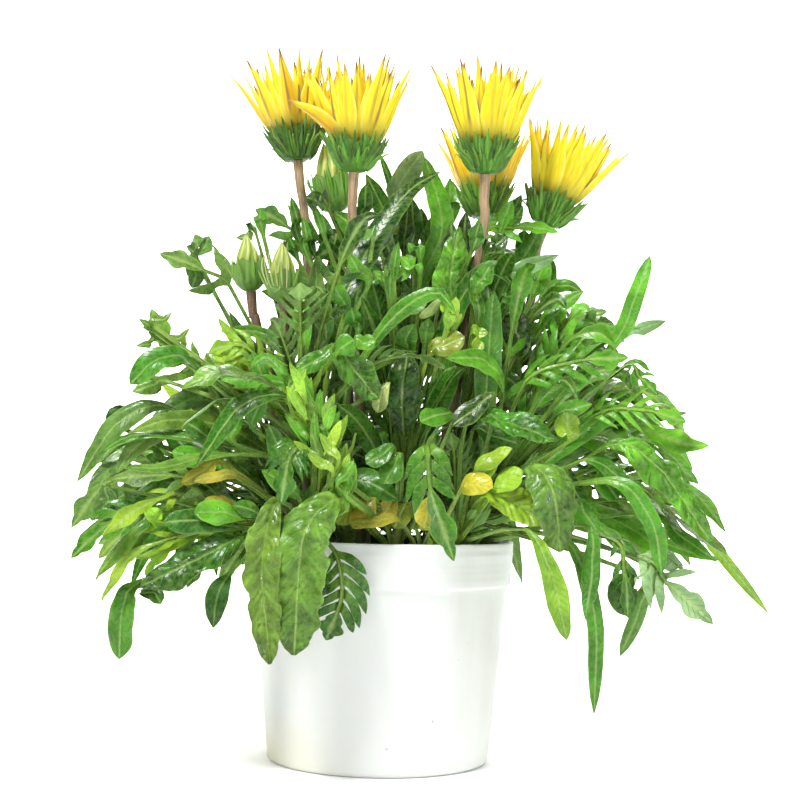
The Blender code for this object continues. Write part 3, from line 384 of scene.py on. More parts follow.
verts, rows = [Vector((0, 0, soil_height(0, 0)))], [[0] * SOIL_SIDES]
for ring in range(1, SOIL_RINGS + 1):
    radius = SOIL_R * ring / SOIL_RINGS
    rows.append([])
    for k in range(SOIL_SIDES):
        turn = 2 * math.pi * k / SOIL_SIDES
        x, y = radius * math.cos(turn), radius * math.sin(turn)
        rows[-1].append(len(verts))
        verts.append(Vector((x, y, soil_height(x, y))))
for radius, height in ((NECK_R - POT_WALL - 0.6, RIM_LOW - 2.5), (FOOT_R - POT_WALL - 0.6, POT_WALL + 0.3)):
    rows.append([len(verts) + k for k in range(SOIL_SIDES)])
    verts += [polar(radius, 2 * math.pi * k / SOIL_SIDES, height) for k in range(SOIL_SIDES)]
faces = [face[:1] + face[:0:-1] for face in joined(rows)]
soil = piece("soil_fill", verts, faces + [rows[-1][::-1]], [earth])
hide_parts("soil")


def stones(name, count, seed, sizes, squash, surface, reach=62.0):
    """Loose bits of uneven shape strewn over the soil: sizes is (smallest, largest) in millimetres."""
    luck = random.Random(seed)
    shape = bmesh.new()
    bmesh.ops.create_icosphere(shape, subdivisions=2, radius=1.0)
    balls = [v.co.copy() for v in shape.verts]
    sides = [[v.index for v in f.verts] for f in shape.faces]
    shape.free()
    verts, faces = [], []
    for _ in range(count):
        turn = luck.uniform(0, 2 * math.pi)
        radius = reach * math.sqrt(luck.random())
        x, y = radius * math.cos(turn), radius * math.sin(turn)
        size = luck.uniform(*sizes) * luck.uniform(0.7, 1.0) / 2
        spin = Matrix.Rotation(luck.uniform(0, 6.28), 3, "Z")
        spin = spin @ Matrix.Rotation(luck.uniform(-0.5, 0.5), 3, "X")
        wide = Vector((1.0, luck.uniform(*squash), luck.uniform(*squash) * 0.8)) * size
        push = luck.uniform(0, 50)
        start = len(verts)
        for ball in balls:
            bumpy = 1.0 + 0.45 * noise.noise(ball * 1.3 + Vector((push, 0, 0)))
            spot = spin @ Vector((ball.x * wide.x, ball.y * wide.y, ball.z * wide.z)) * bumpy
            verts.append(spot + Vector((x, y, soil_height(x, y) + wide.z * 0.45)))
        faces += [[p + start for p in side] for side in sides]
    piece(name, verts, faces, [surface])


bark = Finish("bark", 0.8)
streak = bark.grain(260.0, 5.0, stretch=(0.25, 1.0, 1.0))
bark.set("Base Color", bark.mix(bark.span(streak, 0.35, 0.7), (0.055, 0.020, 0.010), (0.26, 0.10, 0.045)))
bark.relief(streak, 0.8, 0.0008)
white_grit = Finish("white_grit", 0.85)
pores = white_grit.grain(900.0, 4.0)
chalky = white_grit.mix(white_grit.span(pores, 0.3, 0.6), (0.48, 0.46, 0.40), (0.82, 0.81, 0.77))
white_grit.set("Base Color", chalky)
white_grit.relief(pores, 0.7, 0.0005)
stones("soil_crumbs", CRUMBS, 3, (0.8, 3.4), (0.6, 1.0), earth, 65.0)
stones("bark_chips", CHIPS, 4, (5.0, 13.0), (0.3, 0.6), bark)
stones("grit_grains", GRITS, 9, (1.6, 4.6), (0.7, 1.0), white_grit)


# The flower stalks: round tan scapes, ribbed along and greener low down. Each stands in the soil and
# carries one head or bud; the first part of a stalk is straight in its hole.
STALK_R = 2.4
HOLE_DEEP = 14.0
STALK_SIDES = 20
STALK_STEPS = 60
STALK_RIBS = 10
RIB_DEEP = 0.035
NECK = 14
SWELL = 0.55
GAP = 0.3


def at(u, v, y):
    """The place seen at (u, v) of the 800 by 800 picture, y millimetres behind the pot's axis."""
    a = u - 400.0
    b = 400.0 - v
    across = a * math.cos(CAMERA_ROLL) - b * math.sin(CAMERA_ROLL)
    up = a * math.sin(CAMERA_ROLL) + b * math.cos(CAMERA_ROLL)
    ahead = VIEW_SCALE * math.cos(CAMERA_TILT) - up * math.sin(CAMERA_TILT)
    rise = VIEW_SCALE * math.sin(CAMERA_TILT) + up * math.cos(CAMERA_TILT)
    step = (y + 830.0) / ahead
    return Vector((8.0 + across * step, y, 148.0 + rise * step)) * MM


HEADS = {
    "a": ((-26, 8), at(307, 240, 14), at(298, 161, 10), (-0.12, 0.05, 1.0), 16),
    "b": ((-8, -8), at(353, 240, -22), at(354, 172, -26), (0.03, -0.05, 1.0), 18),
    "c": ((22, -4), at(480, 250, -20), at(485, 174, -22), (0.02, -0.05, 1.0), 18),
    "d": ((26, 34), at(484, 290, 34), at(484, 218, 40), (-0.02, 0.10, 1.0), 14),
    "e": ((44, 16), at(531, 300, 12), at(545, 226, 8), (0.32, -0.08, 1.0), 16),
}
BUDS = {
    "f": ((-12, 22), at(340, 260, 14), at(337, 212, 12), (-0.22, 0.0, 1.0)),
    "g": ((-40, -6), at(258, 330, -8), at(251, 291, -8), (-0.12, 0.0, 1.0)),
    "h": ((-34, -24), at(286, 330, -34), at(284, 302, -36), (-0.06, -0.1, 1.0)),
}


def curve(points, spans=10):
    """A smooth line through the points: places at even steps, their share of its length, and its length."""
    ends = [points[0] * 2 - points[1]] + list(points) + [points[-1] * 2 - points[-2]]
    line = []
    for i in range(1, len(ends) - 2):
        a, b, c, d = ends[i - 1 : i + 3]
        for k in range(spans):
            t = k / spans
            line.append(
                0.5 * (2 * b + (c - a) * t + (2 * a - 5 * b + 4 * c - d) * t * t
                       + (3 * b - a - 3 * c + d) * t ** 3)
            )
    line.append(points[-1].copy())
    far = [0.0]
    for one, two in zip(line, line[1:]):
        far.append(far[-1] + (two - one).length)
    return line, [f / far[-1] for f in far], far[-1]


def along(path, share):
    """The place and direction at a share of the way along a curve."""
    line, shares, _ = path
    share = min(max(share, 0.0), 1.0)
    i = 1
    while i < len(line) - 1 and shares[i] < share:
        i += 1
    t = (share - shares[i - 1]) / (shares[i] - shares[i - 1])
    before = (line[i] - line[i - 1]).normalized()
    low = line[max(i - 2, 0)]
    high = line[min(i + 1, len(line) - 1)]
    return line[i - 1].lerp(line[i], t), (before + (high - low).normalized()).normalized()


def foot_path(foot, middle, top):
    """The line of a stalk or stem from the bottom of its hole in the soil."""
    low = Vector((foot[0], foot[1], SOIL_TOP - HOLE_DEEP + GAP)) * MM
    mid = low + Vector((0, 0, HOLE_DEEP * 0.6)) * MM
    rise = low + Vector((0, 0, HOLE_DEEP + 3)) * MM
    aim = middle or top
    line = [low, mid, rise, rise.lerp(aim, 0.12)]
    return line + [middle, top] if middle else line + [top]


def tube(rows, sides):
    """The faces of a round rod from its rows of points, closed at both ends."""
    rings = [[row * sides + k for k in range(sides)] for row in range(rows)]
    return joined(rings) + [rings[0][::-1], rings[-1]]


def rod(path, radius_at, sides, shares, ribs=0, deep=0.0):
    """A closed round rod with a ring of points at each share of a curve, and there radius_at metres wide."""
    verts = []
    side = Vector((1, 0, 0))
    for share in shares:
        spot, way = along(path, share)
        side = (side - way * side.dot(way)).normalized()
        other = way.cross(side)
        for n in range(sides):
            turn = 2 * math.pi * n / sides
            radius = radius_at(share) * (1 + deep * math.cos(ribs * turn))
            verts.append(spot + (side * math.cos(turn) + other * math.sin(turn)) * radius)
    return verts, tube(len(shares), sides)


stalk_skin = Finish("stalk_skin", 0.55)
height = stalk_skin.parts(stalk_skin.place)[2]
streaks = stalk_skin.grain(900.0, 3.0, stretch=(1.0, 1.0, 0.04))
tone = stalk_skin.mix(stalk_skin.span(height, 0.20, 0.31), (0.16, 0.085, 0.045), (0.44, 0.31, 0.17))
tone = stalk_skin.mix(stalk_skin.span(height, 0.13, 0.21, 1.0, 0.0), tone, (0.22, 0.25, 0.08))
tone = stalk_skin.mix(stalk_skin.span(streaks, 0.40, 0.68, 0.0, 0.55), tone, (0.10, 0.035, 0.025))
lenticels = stalk_skin.span(stalk_skin.grain(1500.0, 2.0), 0.62, 0.7, 0.0, 0.5)
tone = stalk_skin.mix(lenticels, tone, (0.62, 0.50, 0.34))
stalk_skin.set("Base Color", tone)
stalk_skin.relief(streaks, 0.4, 0.0005)


for key, (foot, middle, top, way, *rest) in [*HEADS.items(), *BUDS.items()]:
    up = Vector(way).normalized()
    path = curve(foot_path(foot, middle, top - up * NECK * MM) + [top - up * GAP * MM])
    verts, faces = rod(path, lambda s: STALK_R * MM + SWELL * MM * max(s - 0.93, 0) / 0.07 * 0.6,
                       STALK_SIDES, [k / STALK_STEPS for k in range(STALK_STEPS + 1)], STALK_RIBS, RIB_DEEP)
    made = piece(f"scape_{key}", verts, faces, [stalk_skin], scale=1.0)
    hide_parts(f"stalk_{key}")


# The green cups under the open heads: bracts grown together in a ribbed cup with pointed teeth in two
# rows, and narrow free bracts outside it that curl away.
CUP_TEETH = 7
CUP_SIDES = 126
FREE_BRACTS = 4
LOOSE_BRACTS = 9
BRACT_ROWS = ((15, 1.2, 9.0, 1.5), (18, 3.6, 13.0, 1.5), (22, 6.4, 17.0, 1.5), (20, 9.5, 19.5, 1.3))


def head_frame(foot, way, spin):
    """Carries (across, beside, up) of a flower head to the world; up is the way that it faces."""
    up = Vector(way).normalized()
    one = (Vector((1, 0, 0)) - up * up.x).normalized()
    two = up.cross(one)
    one, two = one * math.cos(spin) + two * math.sin(spin), two * math.cos(spin) - one * math.sin(spin)
    return lambda p: foot + one * p[0] + two * p[1] + up * p[2]


def bender(path, face_way, fold, wave, waves, turn=0.0):
    """Places a blade's (share along, metres across, height) on its curve, folded and waved at the edges."""
    chord = (path[0][-1] - path[0][len(path[0]) // 3]).normalized()
    ref = chord.cross(face_way).normalized()
    sides = []
    for k in range(25):
        spot, way = along(path, k / 24)
        side = ref - way * ref.dot(way)
        sides.append(side.normalized() if side.length > 0.3 else None)
    known = [k for k in range(25) if sides[k]]
    for k in range(25):
        if not sides[k]:
            near = min(known, key=lambda i: abs(i - k))
            way = along(path, k / 24)[1]
            side = sides[near] - way * sides[near].dot(way)
            sides[k] = side.normalized() if side.length > 0.05 else way.orthogonal().normalized()

    def place(share, across, height=0.0):
        spot, way = along(path, share)
        k = max(min(int(share * 24), 23), 0)
        side = sides[k].lerp(sides[k + 1], share * 24 - k)
        side = (side - way * side.dot(way)).normalized()
        normal = side.cross(way)
        if turn:
            angle = turn * share
            side, normal = (side * math.cos(angle) + normal * math.sin(angle),
                            normal * math.cos(angle) - side * math.sin(angle))
        ripple = wave * math.sin(waves * share * 6.283 + (1.7 if across > 0 else 0.0)) * abs(across)
        lift = abs(across) * math.sin(fold) + ripple + height
        beyond = way * max(share - 1.0, 0.0) * path[2]
        hand = 1 if across > 0 else -1 if across < 0 else 0
        normal_out = (normal - side * math.sin(fold) * hand).normalized()
        return spot + beyond + side * across * math.cos(fold) + normal * lift, normal_out

    return place


def swept(stops, t):
    """A smooth value through the (place, value) stops."""
    t = min(max(t, stops[0][0]), stops[-1][0])
    for i in range(len(stops) - 1):
        (a, one), (b, two) = stops[i], stops[i + 1]
        if t <= b:
            break
    (c, low), (d, high) = stops[max(i - 1, 0)], stops[min(i + 2, len(stops) - 1)]
    f, wide = (t - a) / (b - a), b - a
    into = (two - low) / (b - c) * wide
    away = (high - one) / (d - a) * wide
    return (one * (1 + 2 * f) * (1 - f) ** 2 + into * f * (1 - f) ** 2
            + two * f * f * (3 - 2 * f) + away * f * f * (f - 1))


class Growth:
    """Thin closed blades and solid bodies in one mesh, with what their finish reads at each point."""

    def __init__(self):
        self.verts, self.faces = [], []
        self.tints, self.lays, self.shares = [], [], []

    def note(self, tint, lay, share):
        self.tints += [*tint, 1.0]
        self.lays += lay
        self.shares += share

    def blade(self, spots, faces):
        """A thin sheet: each spot is (upper place, lower place, tint, lay, share)."""
        base, count = len(self.verts), len(spots)
        for side in (0, 1):
            for spot in spots:
                self.verts.append(spot[side])
                self.note(spot[2], spot[3], (*spot[4], float(side)))
        edges = {(a, b) for f in faces for a, b in zip(f, f[1:] + f[:1])}
        self.faces += [[p + base for p in f] for f in faces]
        self.faces += [[p + base + count for p in reversed(f)] for f in faces]
        for a, b in edges:
            if (b, a) not in edges:
                self.faces.append([b + base, a + base, a + base + count, b + base + count])

    def body(self, verts, faces, tint, lay=(0.0, 0.0, 0.3), share=(0.5, 0.0, 0.0)):
        base = len(self.verts)
        self.verts += list(verts)
        self.faces += [[p + base for p in f] for f in faces]
        for _ in verts:
            self.note(tint, lay, share)

    def piece(self, name, finishes):
        marks = (("FLOAT_COLOR", "tint", self.tints), ("FLOAT_VECTOR", "lay", self.lays),
                 ("FLOAT_VECTOR", "share", self.shares))
        return piece(name, self.verts, self.faces, finishes, scale=1.0, marks=marks)


def sheet_rows(count, wide):
    """The faces of a grid of points, count rows of wide points each."""
    faces = []
    for i in range(count - 1):
        for j in range(wide - 1):
            a = i * wide + j
            faces.append([a, a + 1, a + wide + 1, a + wide])
    return faces


def narrow_blade(growth, line, face_way, shape, width, dish, tint, thick=0.32, turn=0.0, rows=13, wide=7):
    """A narrow folded blade such as a petal or a bract: its keel behind, its edges raised by dish."""
    place = bender(line, face_way, 0.0, 0.0, 1, turn)
    spots = []
    for i in range(rows):
        share = i / (rows - 1)
        half = max(width * swept(shape, share), 0.12 * MM)
        for j in range(wide):
            q = -1 + 2 * j / (wide - 1)
            rise = dish * half * (abs(q) ** 1.4 - 0.45)
            spot, normal = place(share, q * half * 0.86, 0.0)
            edge = thick * MM * (0.5 if abs(q) < 0.95 else 0.2) * (1.0 if share < 0.97 else 0.5)
            spots.append((spot + normal * (rise + edge), spot + normal * (rise - edge), tint,
                          (share, q, half / MM), (share, 1.0 if abs(q) > 0.95 else 0.0)))
    growth.blade(spots, sheet_rows(rows, wide))


cup_skin = Finish("cup_skin", 0.5, Specular_IOR_Level=0.4)
cup_share = cup_skin.parts(cup_skin.mark("share")["Vector"])
cup_tint = cup_skin.mark("tint")["Color"]
flecks = cup_skin.grain(620.0, 4.0, stretch=(1.0, 1.0, 0.3))
tone = cup_skin.mix(cup_skin.span(flecks, 0.35, 0.65), cup_tint, (0.22, 0.40, 0.05))
tone = cup_skin.mix(cup_skin.times(flecks, 0.4), cup_tint, tone)
tone = cup_skin.over(tone, cup_share[1], 0.3, (0.36, 0.50, 0.12))
tone = cup_skin.mix(cup_skin.span(cup_share[0], 0.93, 1.0, 0.0, 0.6), tone, (0.22, 0.08, 0.04))
cup_skin.set("Base Color", tone)
cup_skin.set("Roughness", cup_skin.span(flecks, 0.3, 0.7, 0.38, 0.6))
cup_skin.relief(flecks, 0.3, 0.0004)


def whorl(growth, place, rows, sides, teeth, tint, size=1.0):
    """A toothed cup: rows of (radius, height, tooth, share up its wall), ribbed along."""
    verts, rings, notes = [], [], []
    for radius, height, tooth, share in rows:
        if radius == 0.0:
            rings.append([len(verts)] * sides)
            verts.append(place(Vector((0, 0, height)) * size * MM))
            notes.append((share, 0.0))
            continue
        rings.append([len(verts) + k for k in range(sides)])
        for k in range(sides):
            turn = 2 * math.pi * k / sides
            wave = abs(((turn * teeth / (2 * math.pi)) % 1.0) - 0.5) * 2
            peak = 1.0 - 1.6 * wave ** 0.85
            rib = 0.28 * math.cos(turn * teeth * 3) * min(share * 3, 1.0)
            r = radius + 0.25 * tooth * peak + rib
            lift = height + tooth * peak
            verts.append(place(polar(r, turn, lift) * size * MM))
            notes.append((share * (0.94 + 0.06 * max(peak, 0.0)), max(rib, 0.0) * 2.0))
    base = len(growth.verts)
    growth.verts += verts
    growth.faces += [[p + base for p in f] for f in joined(rings)]
    for share, rib in notes:
        growth.note(tint, (0.0, 0.0, 0.0), (share, rib, 0.0))


BRACT = [(0.0, 1.0), (0.3, 1.05), (0.6, 0.8), (0.85, 0.45), (1.0, 0.05)]
PALE_BRACT = (0.16, 0.33, 0.045)
CUP_GREENS = {
    "a": (0.030, 0.110, 0.012),
    "b": (0.075, 0.240, 0.022),
    "c": (0.060, 0.200, 0.020),
    "d": (0.085, 0.220, 0.022),
    "e": (0.075, 0.220, 0.022),
}


def free_bract(growth, place, turn, spots, width, size=1.0, tint=PALE_BRACT):
    """A narrow bract through the (radius, height) spots, in millimetres, at a turn round the head."""
    line = [place(polar(r, turn, h) * size * MM) for r, h in spots]
    face_way = place(polar(-1.0, turn, 1.2)) - place(Vector())
    narrow_blade(growth, curve(line, 5), face_way, BRACT, width * MM, 0.7, tint, 0.4, 0.0, 7, 5)


# The yellow ray petals and the disc of small florets inside each cup. A petal is a thin blade folded
# along its keel, yellow with painted shade in orange towards its foot, and a brown stripe and dark point on
# its back.
ray_skin = Finish("ray_skin", 0.5, Subsurface_Weight=0.22, Subsurface_Scale=0.0015, Specular_IOR_Level=0.3)
ray_lay = ray_skin.parts(ray_skin.mark("lay")["Vector"])
ray_share = ray_skin.parts(ray_skin.mark("share")["Vector"])
ray_marks = ray_skin.parts(ray_skin.mark("tint")["Vector"])
back = ray_share[2]
off_keel = ray_skin.maths("ABSOLUTE", ray_lay[1])
streaks = ray_skin.grain(1.0, 4.0, ray_skin.add("CombineXYZ", {
    "X": ray_skin.times(ray_lay[1], 6.0), "Y": ray_skin.times(ray_lay[0], 3.0),
    "Z": ray_skin.times(ray_skin.parts(ray_skin.place)[0], 400.0)}).outputs[0])
tone = ray_skin.mix(ray_skin.span(streaks, 0.35, 0.65), (1.0, 0.72, 0.005), (1.0, 0.88, 0.030))
# Painted shade: the petal turns orange towards its foot, where it is shaded inside the head.
painted_foot_shade = ray_skin.times(ray_skin.span(ray_lay[0], 0.1, 0.5, 1.0, 0.0), 0.45)
tone = ray_skin.mix(painted_foot_shade, tone, (0.95, 0.45, 0.008))
warmth = ray_skin.times(ray_marks[2], ray_skin.span(ray_lay[0], 0.3, 0.9, 1.0, 0.5))
tone = ray_skin.mix(warmth, tone, (0.90, 0.38, 0.010))
margin = ray_skin.times(ray_skin.span(off_keel, 0.6, 1.0), 0.6)
tone = ray_skin.mix(margin, tone, (0.98, 0.86, 0.20))
stripe = ray_skin.span(ray_skin.plus(off_keel, ray_skin.times(streaks, 0.25)), 0.20, 0.46, 1.0, 0.0)
stripe = ray_skin.times(stripe, ray_skin.span(ray_lay[0], 0.12, 0.4))
stripe = ray_skin.times(stripe, ray_marks[0])
tone = ray_skin.over(tone, ray_skin.times(stripe, back), 0.80, (0.20, 0.12, 0.07))
foot_green = ray_skin.times(ray_skin.span(ray_lay[0], 0.12, 0.42, 1.0, 0.0), back)
tone = ray_skin.over(tone, foot_green, 0.75, (0.36, 0.38, 0.05))
point = ray_skin.span(ray_lay[0], 0.80, 0.96)
tone = ray_skin.mix(ray_skin.times(point, ray_marks[1]), tone, (0.13, 0.06, 0.03))
ray_skin.set("Base Color", tone)
ray_skin.set("Roughness", ray_skin.span(streaks, 0.3, 0.7, 0.42, 0.6))
ray_skin.relief(streaks, 0.35, 0.0004)

PETAL = [(0.0, 0.34), (0.20, 0.76), (0.38, 1.0), (0.52, 0.94), (0.68, 0.64), (0.85, 0.30), (1.0, 0.02)]
FLORETS = 70
FLORET_ROWS = (0.0, 0.25, 0.5, 0.75, 1.0)
GOLDEN_TURN = 2.39996
LOOSE = 10
MORE_RAYS = 15
BROWN = (0.0, 0.1, 0.25, 0.4, 0.6, 0.8, 1.0)
WARMTH = {"a": 0.42, "b": 0.12, "c": 0.06, "d": 0.60, "e": 0.10}


def petal(growth, place, turn, spots, wide, twist, brown, warm, dish=0.5):
    """A ray petal; brown says how dark its stripe and its tip are, warm how orange it is."""
    line = [place(polar(r, turn + s, h) * MM) for r, h, s in spots]
    face_way = place(polar(-1.0, turn, 0.6)) - place(Vector())
    tint = (brown, min(brown + 0.3, 1.0), warm)
    narrow_blade(growth, curve(line, 8), face_way, PETAL, wide * MM / 2, dish, tint, 0.3, twist, 14, 7)


for index, (key, (foot, middle, top, way, rays)) in enumerate(HEADS.items()):
    place = head_frame(top, way, 0.3 * index)
    luck = random.Random(11 + index)
    extra = random.Random(71 + index)
    cup = Growth()
    whorl(cup, place, [
        (0.0, 0.0, 0.0, 0.0), (3.4, 0.0, 0.0, 0.05), (5.0, 0.1, 0.0, 0.1), (7.2, 1.6, 0.0, 0.2),
        (9.4, 4.0, 0.0, 0.32), (11.2, 7.0, 0.0, 0.46), (12.6, 10.0, 0.4, 0.6), (13.9, 12.4, 1.4, 0.8),
        (14.8, 14.6, 2.7, 1.0), (14.3, 14.9, 2.6, 1.0), (13.2, 12.9, 1.6, 0.8), (11.6, 10.6, 0.4, 0.6),
        (9.6, 8.6, 0.0, 0.4), (0.0, 8.1, 0.0, 0.3),
    ], CUP_SIDES, CUP_TEETH, CUP_GREENS[key])
    for k in range(FREE_BRACTS):
        turn = 2 * math.pi * (k + luck.uniform(-0.2, 0.2)) / FREE_BRACTS
        tip = luck.uniform(15.5, 20)
        rise = luck.uniform(10, 20)
        free_bract(cup, place, turn, [(8.0, 4.2), (12.9, 12.0), (tip, rise)], 1.5)
    for count, low, high, wide in BRACT_ROWS:
        for k in range(count):
            turn = 2 * math.pi * (k + extra.uniform(-0.25, 0.25)) / count + high
            rim = high + extra.uniform(-1.2, 1.6)
            out = 7.4 + 0.55 * rim + extra.uniform(-0.4, 0.9)
            foot = (6.7 + 0.62 * low, low)
            belly = (8.4 + 0.50 * (low + rim) * 0.5, (low + rim) * 0.5)
            pale = extra.choice((0.45, 0.7, 1.0, 1.3, 1.9))
            shade = tuple(c * pale for c in CUP_GREENS[key])
            free_bract(cup, place, turn, [foot, belly, (out, rim)], wide, 1.0, shade)
    for k in range(LOOSE_BRACTS):
        turn = extra.uniform(0, 6.28)
        out = extra.uniform(15, 19)
        spots = [(8.4, 2.8), (12.2, 7.0), (out, 11.0), (out + 1.0, extra.uniform(7, 17))]
        free_bract(cup, place, turn, spots, 0.8)
    body = cup.piece(f"flower_cup_{key}", [cup_skin])
    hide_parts(f"cup_{key}")

    crown = Growth()
    verts, faces = lathe([(0.0, 9.3), (8.2, 9.3), (8.5, 12.4), (6.0, 14.2), (0.0, 15.0)], 28)
    crown.body([place(v * MM) for v in verts], faces, (0, 0, 0.3), (0.2, 0.5, 1.0), (0.2, 0.0, 0.0))
    for k in range(FLORETS):
        radius = 7.8 * math.sqrt((k + 0.5) / FLORETS)
        turn = k * GOLDEN_TURN
        centre = polar(radius, turn, 14.6 - 0.02 * radius * radius)
        lean = centre + polar(radius * 0.05, turn, 2.2 + 0.1 * (k % 3))
        line = [place(spot * MM) for spot in (centre, centre.lerp(lean, 0.5), lean)]
        verts, faces = rod(curve(line, 3), lambda s: (0.42 + 0.16 * math.sin(s * 3.1)) * MM, 6, FLORET_ROWS)
        crown.body(verts, faces, (0, 0, 0.5), (0.3, 0.5, 1.0), (0.3, 0.0, 0.0))
    for k in range(rays):
        inner = k % 2 == 1
        turn = 2 * math.pi * (k + luck.uniform(-0.15, 0.15)) / rays
        wide = luck.uniform(6.6, 8.0) if inner else luck.uniform(8.4, 10.0)
        reach = luck.uniform(17, 25) if inner else luck.uniform(28, 35)
        rise = luck.uniform(56, 61) if inner else luck.uniform(50, 57)
        swing = luck.uniform(-0.08, 0.08)
        low, mid = (4.6, 9.4) if inner else (7.4, 12.6)
        loose = key == "b" and k == LOOSE
        if loose:
            wide, reach, rise, swing = 12, 37, 35, -0.45
        spots = [(low + 0.6, 11.4, 0.0), (mid + 1.9, 20.0, 0.0),
                 ((reach + mid) * 0.5 + 0.6, (rise + 22) * 0.5, swing / 2), (reach, rise, swing)]
        twist = luck.uniform(-0.5, 0.5)
        petal(crown, place, turn, spots, wide * 1.12, twist * 0.6, extra.choice(BROWN),
              0.6 if loose else WARMTH[key] * extra.uniform(0.4, 1.4), 0.35 if loose else 0.5)
    for k in range(MORE_RAYS):
        turn = 2 * math.pi * (k + extra.uniform(-0.2, 0.2)) / MORE_RAYS
        reach, rise = extra.uniform(10, 25), extra.uniform(48, 58)
        mid = reach * 0.45 + 2
        spots = [(3.6, 11.6, 0.0), (mid * 0.8, 21.0, 0.0), ((reach + mid) * 0.5, 35.0, 0.0),
                 (reach, rise, extra.uniform(-0.1, 0.1))]
        petal(crown, place, turn, spots, extra.uniform(6.6, 8.6), extra.uniform(-0.4, 0.4),
              extra.choice(BROWN), WARMTH[key] * extra.uniform(0.4, 1.4))
    for k in range(rays):
        turn = 2 * math.pi * (k + 0.5 + extra.uniform(-0.2, 0.2)) / rays
        reach, rise = extra.uniform(21, 29), extra.uniform(46, 55)
        spots = [(7.0, 11.6, 0.0), (13.0, 20.0, 0.0), (reach * 0.5 + 7.0, rise * 0.5 + 10.6, 0.0),
                 (reach, rise, extra.uniform(-0.1, 0.1))]
        petal(crown, place, turn, spots, extra.uniform(8.6, 10.6), extra.uniform(-0.3, 0.3),
              extra.choice(BROWN), WARMTH[key] * extra.uniform(0.4, 1.4))
    body = crown.piece(f"flower_rays_{key}", [ray_skin])
    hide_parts(f"rays_{key}")


# The three buds: a closed green cup with free bracts, and the rolled ray petals standing in it as a
# ribbed point, pale yellow with green stripes.
BUD_SIDES = 64
TIP_ROWS = 24
bud_skin = Finish("bud_skin", 0.5, Subsurface_Weight=0.1, Subsurface_Scale=0.0015)
bud_share = bud_skin.parts(bud_skin.mark("share")["Vector"])
silk = bud_skin.grain(900.0, 3.0, stretch=(1.0, 1.0, 0.2))
tone = bud_skin.mix(bud_skin.span(bud_share[1], 0.15, 0.8), (0.24, 0.36, 0.06), (0.52, 0.56, 0.13))
tone = bud_skin.mix(bud_skin.span(bud_share[0], 0.2, 0.8, 0.35, 0.0), tone, (0.20, 0.36, 0.06))
tone = bud_skin.mix(bud_skin.span(bud_share[0], 0.93, 1.0, 0.0, 0.9), tone, (0.12, 0.06, 0.03))
tone = bud_skin.mix(bud_skin.span(silk, 0.45, 0.75, 0.0, 0.2), tone, (0.80, 0.76, 0.32))
bud_skin.set("Base Color", tone)
bud_skin.relief(silk, 0.4, 0.0004)

for index, (key, (foot, middle, top, way)) in enumerate(BUDS.items()):
    place = head_frame(top, way, 0.5 * index)
    size = 1.25 if key == "f" else 1.0
    luck = random.Random(31 + index)
    extra = random.Random(91 + index)
    cup = Growth()
    whorl(cup, place, [
        (0.0, 0.0, 0.0, 0.0), (2.6, 0.0, 0.0, 0.05), (3.8, 0.4, 0.0, 0.1), (5.8, 1.9, 0.0, 0.2),
        (7.6, 4.2, 0.0, 0.35), (8.3, 7.4, 0.0, 0.5), (8.4, 11.0, 0.5, 0.7), (8.2, 14.8, 2.2, 1.0),
        (7.6, 14.9, 2.2, 1.0), (7.3, 11.0, 0.5, 0.7), (6.9, 7.6, 0.0, 0.4), (0.0, 7.2, 0.0, 0.3),
    ], BUD_SIDES, 4, (0.13, 0.27, 0.05), size)
    for k in range(3):
        turn = 2 * math.pi * (k + luck.uniform(-0.2, 0.2)) / 3
        spots = [(6.6, 4.0), (9.6, 9.0), (luck.uniform(11, 15), luck.uniform(11, 18))]
        free_bract(cup, place, turn, spots, 1.4, size)
    for k in range(7):
        turn = 2 * math.pi * (k + extra.uniform(-0.2, 0.2)) / 7
        spots = [(6.9, 4.5), (8.8, 10.0), (extra.uniform(6.4, 8.6), extra.uniform(17, 21))]
        free_bract(cup, place, turn, spots, 1.5, size, (0.13, 0.30, 0.035))
    if key == "f":
        for k in range(26):
            turn = 2 * math.pi * (k + extra.uniform(-0.3, 0.3)) / 13
            rim = extra.uniform(13, 21)
            out = extra.uniform(8.2, 11.5)
            free_bract(cup, place, turn, [(6.0, 1.6 + k % 2), (8.6, 7.5), (out, rim)], 1.0, size,
                       tuple(c * extra.uniform(0.6, 1.5) for c in CUP_GREENS["b"]))
    if key == "h":
        for k in range(6):
            turn = 2.6 + 0.28 * k
            spots = [(6.4, 5.0), (10.0, 12.0), (11.5, 20.0 + k), (9.0 + k, 25.0 + k)]
            free_bract(cup, place, turn, spots, 0.45, 1.0, (0.55, 0.55, 0.25))
    body = cup.piece(f"bud_cup_{key}", [cup_skin])
    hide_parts(f"budcup_{key}")

    tip = Growth()
    shape = [(0.0, 0.3), (0.08, 1.0), (0.4, 1.03), (0.62, 0.78), (0.82, 0.42), (0.95, 0.14), (1.0, 0.02)]
    verts, notes = [], []
    for i in range(TIP_ROWS + 1):
        share = i / TIP_ROWS
        for n in range(BUD_SIDES):
            turn = 2 * math.pi * n / BUD_SIDES + share * 0.9
            fold = math.cos(turn * 8 - share * 7.2)
            radius = 5.7 * swept(shape, share) * (1 + 0.10 * fold)
            verts.append(place(polar(radius, turn, 7.7 + 23.2 * share) * size * MM))
            notes.append((share, 0.5 + 0.5 * fold))
    tip.verts, tip.faces = verts, tube(TIP_ROWS + 1, BUD_SIDES)
    for share, fold in notes:
        tip.note((1, 1, 1), (share, fold, 0.0), (share, fold, 0.0))
    body = tip.piece(f"bud_tip_{key}", [bud_skin])
    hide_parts(f"budtip_{key}")


